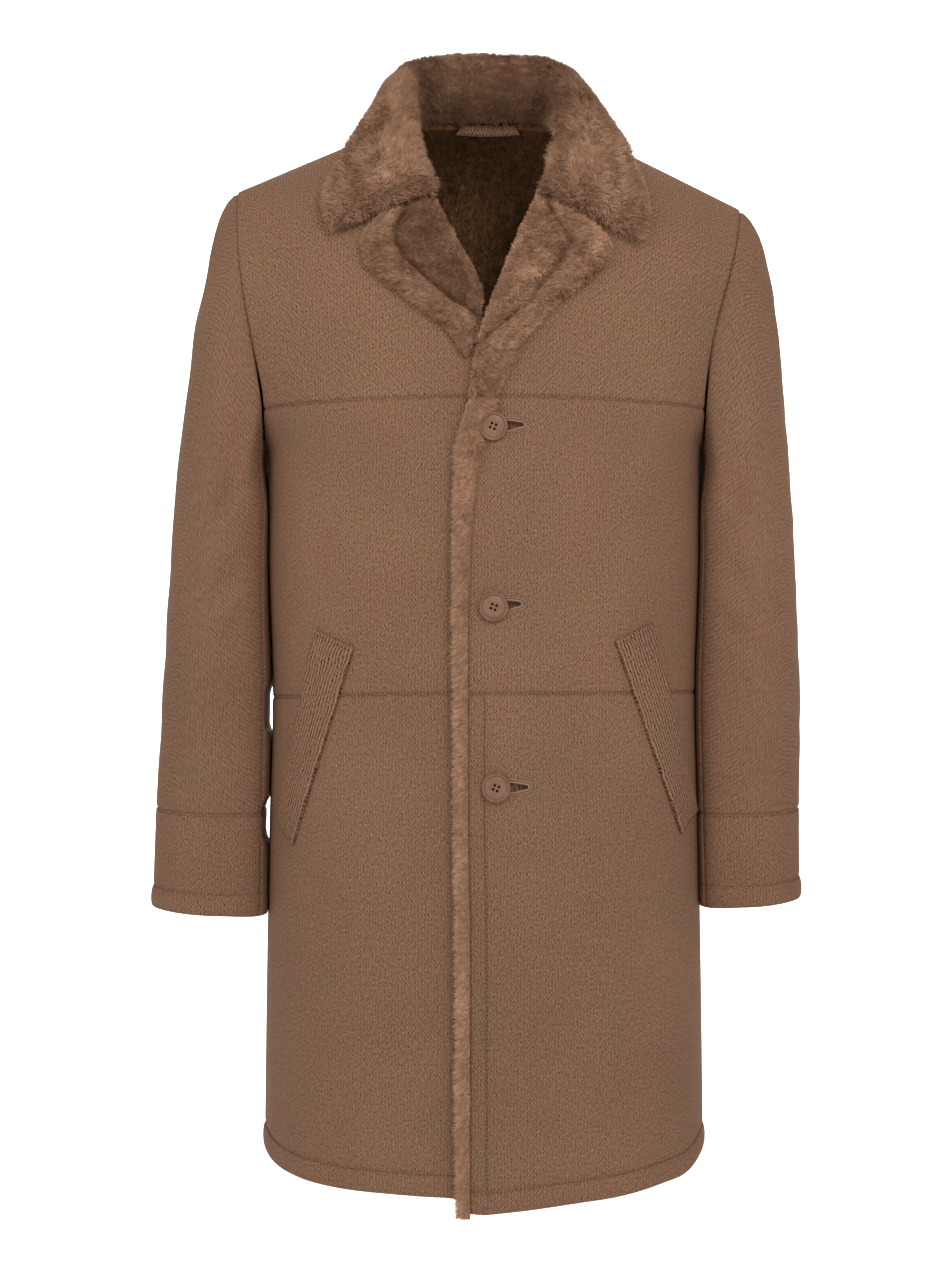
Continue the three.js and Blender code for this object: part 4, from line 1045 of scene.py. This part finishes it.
def cuff(side, cut):
    down, angle = sleeve_shares(cut, down_to_hem(95, 7, 6))
    end_z = sleeve_end_z(side, angle)
    z = lerp(sleeve_seam_z(angle) - SEAM_GAP / 2, end_z, down)
    outer, inner = sleeve_pair(side, angle, z)
    outer = soften(outer, inner, ["top", "first", "last"], ["top"])
    room = lerp(0.1, 1, smooth(-0.9, -0.3, np.cos(angle)))
    away = vec(SIGN[side] * np.cos(angle), -np.sin(angle), 0)
    outer = outer + away * (room * band_relief(z - end_z))[..., None]
    lines = [row_line(outer, inner, HEM_BAND + 0.5), row_line(outer, inner, STITCH_IN, "top")]
    sewn_panel(f"{cut}_cuff_{side}", outer, inner, cloth_uv(outer, None, 5), lines, ["low"])


# Collar.
def rounded(points, t):
    """A centripetal curve through points, at parameters that count them from 0 to 1."""
    p = np.asarray(points, float)
    p = np.vstack([2 * p[0] - p[1], p, 2 * p[-1] - p[-2]])
    place = np.asarray(t) * (len(points) - 1)
    i = np.minimum(place.astype(int), len(points) - 2)
    w = (place - i)[:, None]
    p0, p1, p2, p3 = p[i], p[i + 1], p[i + 2], p[i + 3]

    def root(a, b):
        return np.maximum(np.linalg.norm(b - a, axis=1, keepdims=True) ** 0.5, 1e-4)

    d0, d1, d2 = root(p0, p1), root(p1, p2), root(p2, p3)
    m1 = ((p1 - p0) / d0 - (p2 - p0) / (d0 + d1) + (p2 - p1) / d1) * d1
    m2 = ((p2 - p1) / d1 - (p3 - p1) / (d1 + d2) + (p3 - p2) / d2) * d1
    return p1 + m1 * w + (-3 * p1 + 3 * p2 - 2 * m1 - m2) * w**2 + (2 * p1 - 2 * p2 + m1 + m2) * w**3


def collar_stations(sign):
    side = "left" if sign < 0 else "right"
    rows = []
    for seam_x, fold_x, fold_y, fold_z, edge_left, edge_right, edge_y, out in COLLAR:
        seam = on_body("back", seam_x, neck_curve(seam_x))[0]
        edge_x = sign * (edge_left if side == "left" else edge_right)
        edge = (edge_x, edge_y, resting_z(edge_x, edge_y) + out)
        seam = (sign * seam[0], seam[1], neck_curve(seam_x) + 1)
        rows.append([seam, (sign * fold_x, fold_y, fold_z), edge])
    for seam_z, fold_x, fold_z, fold_out, edge_x, edge_z, out in COLLAR_FRONT[side]:
        x = edge_at[side](seam_z)
        seam = front_point(side, x, np.minimum(seam_z, ridge(x) - 0.5))
        fold = front_point(side, sign * fold_x, np.minimum(fold_z, ridge(fold_x) - 1))
        edge = front_point(side, sign * edge_x, np.minimum(edge_z, ridge(sign * edge_x) - 1))
        rows.append([
            (seam[0] - sign * 1.5, seam[1] - 1 - 2 * smooth(0, -30, seam_z), seam[2] + 1),
            (fold[0], fold[1] - fold_out, max(fold[2], fold_z)),
            (edge[0], edge[1] - out, edge[2] + out),
        ])
    return rows


def collar_grid(stations, columns):
    half = collar_stations(-1)[::-1]
    rows = np.array(half + collar_stations(1)[1:], float)
    w = np.linspace(0, 1, stations)
    seams, folds, edges = (rounded(rows[:, k], w) for k in range(3))
    grid = []
    for seam, fold, edge in zip(seams, folds, edges):
        stand, fall = fold - seam, edge - fold
        high = np.linalg.norm(stand)
        out = unit(fall * [1, 1, 0])
        line = [
            seam, seam + 0.5 * stand, fold - min(6, 0.35 * high) * stand / high, fold,
            fold + 7 * out + [0, 0, -1.5], fold + 0.35 * fall + 7 * out, fold + 0.7 * fall + 4 * out, edge,
        ]
        dense = rounded(line, np.linspace(0, 1, 240))
        run = run_of(dense)
        grid.append(on_line(np.linspace(0, run[-1], columns), run, dense))
    return np.array(grid)


def round_corners(grid, radius):
    """Rounds off the two outer corners of a grid."""
    rows, cols = grid.shape[:2]
    i, j = lattice(np.arange(rows, dtype=float), np.arange(cols, dtype=float))
    for first in (True, False):
        end, near = (0, 1) if first else (-1, -2)
        step_i = np.linalg.norm(grid[near, -1] - grid[end, -1])
        step_j = np.linalg.norm(grid[end, -1] - grid[end, -2])
        a = (i if first else rows - 1 - i) * step_i
        da, db = np.clip(1 - a / radius, 0, 1), np.clip(1 - (cols - 1 - j) * step_j / radius, 0, 1)
        pull = np.maximum(da, db) / np.maximum(np.hypot(da, db), 1e-6)
        inside = (da > 0) & (db > 0)
        new_i = radius * (1 - da * pull) / step_i
        i = np.where(inside, new_i if first else rows - 1 - new_i, i)
        j = np.where(inside, cols - 1 - radius * (1 - db * pull) / step_j, j)
    at = (np.clip(i, 0, rows - 1.001).ravel(), np.clip(j, 0, cols - 1.001).ravel())
    return sample(grid, at).reshape(grid.shape)


def fur_wall(name, grid, normals, high, lift=0.0):
    """The roots of the fur: a wall whose outer face stands off a grid along its normals."""
    outer = grid + normals * high[..., None]
    inner = grid + normals * lift if lift else grid
    piece = closed_wall(name, outer, inner, [ROOT_PILE_IN_PAINTED_SHADE, SUEDE], cloth_uv(grid))
    return dress(piece, "fur", name), outer


def collar():
    rng = np.random.default_rng(SEEDS["collar"])
    stations, columns = 151, 52
    grid = round_corners(collar_grid(stations, columns), 17)
    normals = grid_normals(grid)
    if normals[75, 8, 1] > 0:
        normals = -normals
    run = line_lengths(grid, 1)
    index = np.arange(stations)[:, None] / (stations - 1) * 30
    from_nape = np.abs(index - 15)
    ends = np.minimum(index, 30 - index) * 12 + 0 * run
    edge = run[:, -1:] - run
    seam = run + FUR * (1 - smooth(6, 11, from_nape))
    high = fur_height(np.minimum(np.minimum(ends, edge), seam))
    shape = high.shape
    lumps = lumps_of(shape, (24, 7), (60, 18), rng)
    patches = lumps_of(shape, (19, 6), (40, 13), rng, (0.55, 0.45))
    room = np.clip(high / FUR, 0, 1)
    piece, outer = fur_wall("collar", grid, normals, high * 0.76 + room * 1.3 * lumps)
    fall = unit(np.gradient(grid, axis=1))
    way = unit(np.gradient(grid, axis=0))
    sweep = furrows(shape, (26, 8), rng)[..., None] * way
    swirl = furrows(shape, (60, 18), rng)[..., None] * way
    up_down = np.where(run[..., None] < 0.45 * run[:, -1:, None], -0.35, 1.0)
    stand = smooth(0.5, 0.3, run / run[:, -1:])
    nape = stand * smooth(11, 7, from_nape)
    hanging = nape * smooth(16, 5, run)
    to_end = smooth(16, 3, ends)
    onward = np.where(index < 15, -3.0, 3.0)[..., None] * to_end[..., None] * way
    comb = unit(fall * (up_down - hanging[..., None]) + 0.8 * sweep + 0.45 * swirl + onward)
    shadow = 0.12 * stand + 0.3 * nape + 0.22 * nape * smooth(34, 9, run)
    tone = (1.06 + 0.14 * lumps + 0.34 * patches) * (1 - shadow)
    length = 5.2 + 2.6 * room + 0.9 * lumps + 8 * hanging + 2.2 * smooth(14, 3, edge) + 5 * to_end
    count = STRANDS["collar"]
    furs = [
        strands(f"collar_fur_{k + 1}", outer, normals, comb, length, tone, count, rng, 0.6 + 0.45 * k)
        for k in range(2)
    ]
    declare(grid)


def lapel(side):
    left = side == "left"
    rng = np.random.default_rng(SEEDS[f"lapel_{side}"])
    sign, rows = SIGN[side], LAPEL[side]
    k = np.linspace(-0.55, len(rows) - 1, 92)[:, None]
    u = np.linspace(0, 1, 40)[None]
    xi, zi, xo, zo = (curve(rows, c)(k) for c in (1, 2, 3, 4))
    under = np.minimum(k, 0)
    zi, zo, xo = zi - 13 * under, zo - 17 * under, xo - 6 * under
    grid = front_point(side, sign * lerp(xi, xo, u), lerp(zi, zo, u))
    normals = front_normals(grid)
    wide = np.linalg.norm(grid[:, -1:] - grid[:, :1], axis=-1)
    to_side = np.minimum(u, 1 - u) * wide
    to_top = np.where(k > 0, np.linalg.norm(grid - grid[6:7], axis=-1) + 1.2, 0.3)
    to_tail = np.linalg.norm(grid - grid[-1:], axis=-1) if left else FUR
    high = fur_height(np.minimum(np.minimum(to_side, to_top), to_tail))
    if not left:
        high = high * lerp(1, 0.6, smooth(5.4, 7, k))
    crease = (u - curve(LAPEL_CREASE[side], 1)(k)) * wide
    facing, fold = smooth(2, -8, crease), bell(crease, 3.5)
    lumps = lumps_of(high.shape, (16, 6), (36, 14), rng)
    room = np.clip(high / FUR, 0, 1)
    base = high * (0.74 - 0.16 * facing) - 5.2 * fold * room + room * 1.2 * lumps * (1 - 0.5 * facing)
    base = np.maximum(base, LYING_GAP + 0.5)
    piece, outer = fur_wall(f"lapel_{side}", grid, normals, base, LYING_GAP)
    across = unit(np.gradient(grid, axis=1))
    down = unit(np.gradient(grid, axis=0))
    swirl = furrows(high.shape, (24, 10), rng)[..., None]
    outward = (0.9 - 0.5 * facing) * smooth(0, 0.2, u) - 0.9 * (1 - smooth(0, 0.12, u))
    comb = unit(across * outward[..., None] + down * (0.5 + 0.7 * swirl))
    # Painted shade: the tone is darkened on the facing side of the crease, along the crease itself and over
    # the whole left lapel.
    shadow = 0.3 if left else 0.04
    tone = 1.03 + 0.28 * lumps - shadow * facing - 0.45 * fold - (0.1 if left else 0)
    length = (5.0 + 2.6 * room) * (1 - 0.38 * facing) + 1.0 * lumps
    length = length * (0.5 + 0.5 * smooth(-0.5, 0.3, k))
    if not left:
        tail = smooth(6.2, 7, k)
        length = length + 3.5 * tail
        comb = unit(comb + 1.6 * tail[..., None] * down)
    count = STRANDS["lapel"]
    furs = [strands(f"lapel_fur_{side}", outer, normals, comb, length, tone, count, rng, 0.8)]
    declare(grid)


def edge_fur():
    rng = np.random.default_rng(SEEDS["front_edge"])
    end = float(hem_at["right"](0)) - 2
    tail = end + 12 - 12 * np.sin(np.linspace(0.1, np.pi / 2, 14))
    z = np.concatenate([np.linspace(-245.5, end + 12, 250), tail])[:, None]
    u = np.linspace(0, 1, 20)[None]
    pull = 3 * (1 - np.sqrt(np.clip(1 - (1 - np.clip((z - end) / 12, 0, 1)) ** 2, 0, 1)))
    xi, xo = curve(EDGE_FUR, 1)(z) + pull + 1.5 * smooth(-262, -330, z), curve(EDGE_FUR, 2)(z)
    grid = on_body("front", lerp(xi, xo, u), z + 0 * u)[0]
    grid[..., 1] -= OVERLAP_LIFT + np.where(z < end + 30, 3, LYING_GAP)
    t = np.clip(np.minimum(u, 1 - u) * (xo - xi) / EDGE_HIGH, 0, 1)
    high = (0.8 + (EDGE_HIGH - 0.8) * dome(t)) * lerp(1, 1.3, smooth(-290, -250, z))
    shape = high.shape
    lumps = lumps_of(shape, (70, 2), (150, 4), rng, (0.6, 0.4))
    x_button, z_button = BUTTONS[0][:2]
    clear = smooth(12.5, 15.5, np.hypot(grid[..., 0] - x_button, grid[..., 2] - z_button))
    normals = to_front(grid)
    base = np.maximum(0.5, (high * 0.7 + 0.2 * lumps * t) * clear)
    piece, outer = fur_wall("front_edge_fur", grid, normals, base)
    fan = smooth(-330, -250, z)
    across = vec(lerp(-1.0, lerp(-0.3, 0.9, fan), u), -0.15, 0)
    swirl = furrows(shape, (100, 3), rng)
    comb = unit(across * lerp(1.0, 0.5, fan)[..., None] + vec(0.6 * fan + 0 * u, 0, -0.5 + 0.3 * swirl))
    tone = lerp(1.04, 1.26, smooth(0.9, 0.2, u)) + 0.12 * lumps + 0.08 * furrows(shape, (18, 2), rng)
    length = 5.0 + 0.7 * lumps + 3.0 * fan + 2.6 * smooth(0.4, 0, u)
    length = length * (0.45 + 0.55 * clear)
    bend = unit(normals + 0.6 * across)
    form = {"lean": 1.0, "wild": 0.3, "wide": 0.8, "clump": 14}
    count = STRANDS["front_edge"]
    furs = [strands("front_edge_strands", outer, bend, comb, length, tone, count, rng, **form)]
    declare(grid)


# Pocket welts, hanger loop.
def welt(side):
    name = f"pocket_welt_{side}"
    corners = np.array(WELT[side], float)
    down_ends, across_ends = [0, 0.6, 1.4, 2.4, 3.2, 4.2, 6], [0, 0.6, 1.4, 2.6, 4.2]
    rows, columns = spread(190, 5, down_ends, down_ends), spread(38, 4, across_ends, across_ends)
    share_v, share_u = (s[..., None] for s in lattice(rows, columns))
    place = lerp(lerp(corners[0], corners[1], share_u), lerp(corners[2], corners[3], share_u), share_v)
    grid = front_point(side, SIGN[side] * place[..., 0], place[..., 1])
    normals = front_normals(grid)
    down, across = line_lengths(grid, 0), line_lengths(grid, 1)
    to_end = np.minimum(down, down[-1:] - down)
    to_side = np.minimum(across, across[:, -1:] - across)
    t = np.clip(np.minimum(to_end, to_side) / 2.6, 0, 1)
    high = LYING_GAP + 0.9 + 2.5 * dome(t) - 0.5 * bell(to_end - 5, 0.9)
    outer = grid + normals * high[..., None]
    inner = grid + normals * LYING_GAP
    piece = closed_wall(name, outer, inner, [WELT_SUEDE, WELT_SUEDE], cloth_uv(grid))
    dress(piece, "suede", name)
    sewn = stitches(f"{name}_stitches", [row_line(outer, inner, 5, end, 3) for end in ("top", "low")])
    declare(grid)


def hanger_loop():
    rows = spread(10, 1.2, [0, 0.4, 0.9], [0, 0.4, 0.9])
    share_v, share_u = lattice(rows, np.linspace(0, 1, 60))
    half, bow = lerp(31, 25, share_v), np.sin(np.pi * share_u)
    x = 4 + lerp(-half, half, share_u)
    wall_y = on_body("back", x, neck_curve(x))[1][..., 1]
    grid = vec(x, wall_y - 1.2 - 2 * bow, 20.5 + share_v * 10 - 0.8 * bow * (1 - share_v))
    crown = 2.4 - 0.9 * (2 * np.abs(share_v - 0.5)) ** 4
    outer = grid + to_front(grid) * crown[..., None]
    piece = closed_wall("hanger_loop", outer, grid, [WELT_SUEDE, WELT_SUEDE], cloth_uv(grid))
    dress(piece, "suede", "hanger_loop")
    lines = [row_line(outer, grid, 1.6, side, 3) for side in ("low", "top")]
    sewn = stitches("hanger_loop_stitches", lines, size=(1.8, 0.5), pitch=3.0)
    declare(grid)


# Buttons and buttonholes.
def turned(name, profile, segments, face, off, materials, beside=(0, 0)):
    """A turned form from its radii and heights, facing forward at a place on the front."""
    r, h = np.array(profile).T
    a = np.linspace(0, 2 * np.pi, segments, endpoint=False)
    points = np.stack([r[:, None] * np.cos(a), -h[:, None] + 0 * a, r[:, None] * np.sin(a)], axis=-1)
    points = points.reshape(-1, 3) + face + [beside[0], off, beside[1]]
    i, j = lattice(np.arange(len(r) - 1), np.arange(segments))
    here, after = (i * segments + j).ravel(), (i * segments + (j + 1) % segments).ravel()
    faces = np.stack([here, after, after + segments, here + segments], axis=-1)
    return new_piece(name, points, facing_out(points, faces), materials)


def cut_away(piece, cutter):
    change = piece.modifiers.new("cut", "BOOLEAN")
    change.operation = "DIFFERENCE"
    change.solver = "EXACT"
    change.object = cutter
    depsgraph = bpy.context.evaluated_depsgraph_get()
    mesh = bpy.data.meshes.new_from_object(piece.evaluated_get(depsgraph))
    piece.modifiers.clear()
    piece.data = mesh
    bpy.data.objects.remove(cutter, do_unlink=True)


def button(number, x, z):
    face = front_point("right", x, z)
    piece = turned(f"button_{number}_body", BUTTON_PROFILE, 72, face, -BUTTON_OUT, [HORN, DARK_THREAD])
    for a in np.arange(4) * np.pi / 2 + HOLES_TURN:
        beside = (HOLES_APART * np.cos(a), HOLES_APART * np.sin(a))
        cut_away(piece, turned("cutter", HOLE_PROFILE, 20, face, -HOLES_OUT, [DARK_THREAD], beside))
    dress(piece, "horn", f"button_{number}")
    dress(turned(f"button_{number}_thread", SHANK_PROFILE, 24, face, SHANK_IN, [DARK_THREAD]), "suede")


def hole_outline(x, z, tip_x, tip_z, grow, count):
    """The drop-shaped slit of a buttonhole: it is open at the button and closes to a rounded end."""
    u = np.linspace(0, 1, count)
    across = lerp(x - 4.5, tip_x - 3.2, u)
    middle = lerp(z, tip_z, smooth(0.3, 1, u))
    half = lerp(4.4, 1.9, smooth(0.55, 1.1, u)) + grow
    turn = np.linspace(np.pi / 2, -np.pi / 2, 9)[1:-1]
    end_x = tip_x - 3.2 + (half[-1] + 1) * np.cos(turn)
    end = np.stack([end_x, tip_z + half[-1] * np.sin(turn)], axis=-1)
    upper = np.stack([across, middle + half], axis=-1)
    lower = np.stack([across, middle - half], axis=-1)[::-1]
    return np.concatenate([upper, end, lower])


def cut_buttonhole(piece, x, z, tip_x, tip_z):
    outline = hole_outline(x, z, tip_x, tip_z, 0, 16)
    n = len(outline)
    points = np.concatenate([vec(outline[:, 0], y, outline[:, 1]) for y in (-110, -200)])
    k = np.arange(n)
    faces = [(a, (a + 1) % n, (a + 1) % n + n, a + n) for a in k]
    mesh = bpy.data.meshes.new("cutter")
    mesh.from_pydata((points / 1000).tolist(), [], faces + [tuple(k[::-1]), tuple(k + n)])
    solid = bmesh.new()
    solid.from_mesh(mesh)
    bmesh.ops.recalc_face_normals(solid, faces=solid.faces)
    solid.to_mesh(mesh)
    solid.free()
    mesh.materials.append(SUEDE)
    cutter = bpy.data.objects.new("cutter", mesh)
    bpy.context.collection.objects.link(cutter)
    cut_away(piece, cutter)


def buttonhole_facing(number, x, z, tip_x, tip_z):
    """The leather seen inside the slit, deeper towards its end."""
    u = np.linspace(0, 1, 20)[:, None]
    v = np.linspace(-1, 1, 8)[None]
    half = lerp(4.7, 2.6, smooth(0.4, 1.05, u))
    up = lerp(z, tip_z, smooth(0.15, 1, u)) + half * v
    grid = front_point("right", lerp(x + 3.2, tip_x - 0.4, u) + 0 * v, up)
    grid[..., 1] += lerp(2.6, 5.2, u) - 0.5 * v**2
    piece = closed_wall(
        f"buttonhole_{number}_facing", grid, grid + [0, 0.8, 0], [SUEDE, SUEDE], cloth_uv(grid)
    )
    return dress(piece, "suede")


def buttonhole(number, x, z, tip_x, tip_z):
    """The thread round a buttonhole, and what is seen in it."""
    looks = [("edge", 0.9, (2.4, 0.95), 1.4, 1.1), ("outline", 3.1, (2.2, 1.0), 2.3, 0.0)]
    pieces = []
    for part, grow, size, pitch, turn in looks:
        outline = hole_outline(x, z, tip_x, tip_z, grow, 60)
        outline = outline[outline[:, 0] > x + 6]
        path = front_point("right", outline[:, 0], outline[:, 1])
        name = f"buttonhole_{number}_{part}"
        pieces.append(stitches(name, [(path, to_front(path))], HOLE_THREAD, size, pitch, turn))
    return [*pieces, buttonhole_facing(number, x, z, tip_x, tip_z)]


# Making the coat.
for part_side in SIGN:
    yoke(part_side)
    front_panel(part_side, "panel")
    front_panel(part_side, "skirt")
for part_side in SIGN:
    for part_cut in CUTS:
        sleeve(part_side, part_cut)
        cuff(part_side, part_cut)
back_panel()
collar()
for part_side in SIGN:
    lapel(part_side)
    welt(part_side)
edge_fur()
hanger_loop()
for index, (button_x, button_z, _, _) in enumerate(BUTTONS):
    button(index + 1, button_x, button_z)


# Floor and backdrop, one sheet that curves up behind.
def backdrop():
    bend = [(-8, -1.25), (5.2, -1.25)]
    bend += [(5.2 + 1.4 * np.sin(a), 0.15 - 1.4 * np.cos(a)) for a in np.linspace(0.1, np.pi / 2, 16)]
    bend += [(6.6, 6.0)]
    y, z = np.array(bend).T
    grid = vec(np.array([-9.0, 9.0])[None], y[:, None], z[:, None]) * 1000
    m = Nodes("backdrop", Roughness=0.9, Specular_IOR_Level=0.1)
    material = m.finish(m.blend(m.noise(1.5, 1), (0.88, 0.88, 0.88, 1), (0.9, 0.9, 0.9, 1)))
    piece = new_piece("backdrop", grid.reshape(-1, 3), quads_of(len(y), 2), [material])


# Name, place, aim, size and power of each light.
LIGHTS = [
    ("key", (1.3, -3.4, 2.0), (0, 0, -0.15), 1.2, 56),
    ("fill", (-2.4, -3.2, 1.0), (0, 0, -0.2), 2.4, 34),
    ("floor", (0, 2.9, 2.2), (0, 4.2, -1.25), 3.0, 95),
    ("wall", (0, 3.6, 3.0), (0, 6.6, 0.2), 3.5, 420),
]


def stage_and_camera():
    scene = bpy.context.scene
    backdrop()
    for name, place, aim, size, power in LIGHTS:
        data = bpy.data.lights.new(name, "AREA")
        data.shape = "SQUARE"
        data.size = size
        data.energy = power
        lamp = bpy.data.objects.new(name, data)
        bpy.context.collection.objects.link(lamp)
        lamp.location = place
        way = unit(np.array(aim, float) - np.array(place, float))
        lamp.rotation_euler = Vector(way).to_track_quat("-Z", "Y").to_euler()
    scene.world = bpy.data.worlds.new("studio")
    scene.world.use_nodes = True
    sky = scene.world.node_tree.nodes["Background"]
    sky.inputs[0].default_value = (1, 1, 1, 1)
    sky.inputs[1].default_value = 0.44
    data = bpy.data.cameras.new("camera")
    data.lens = 92.5
    data.sensor_width = 36
    camera = bpy.data.objects.new("camera", data)
    bpy.context.collection.objects.link(camera)
    camera.location = (-0.0075, -3.1, -0.461)
    camera.rotation_euler = (np.pi / 2, 0, 0)
    scene.camera = camera
    scene.view_settings.view_transform = "Standard"


stage_and_camera()
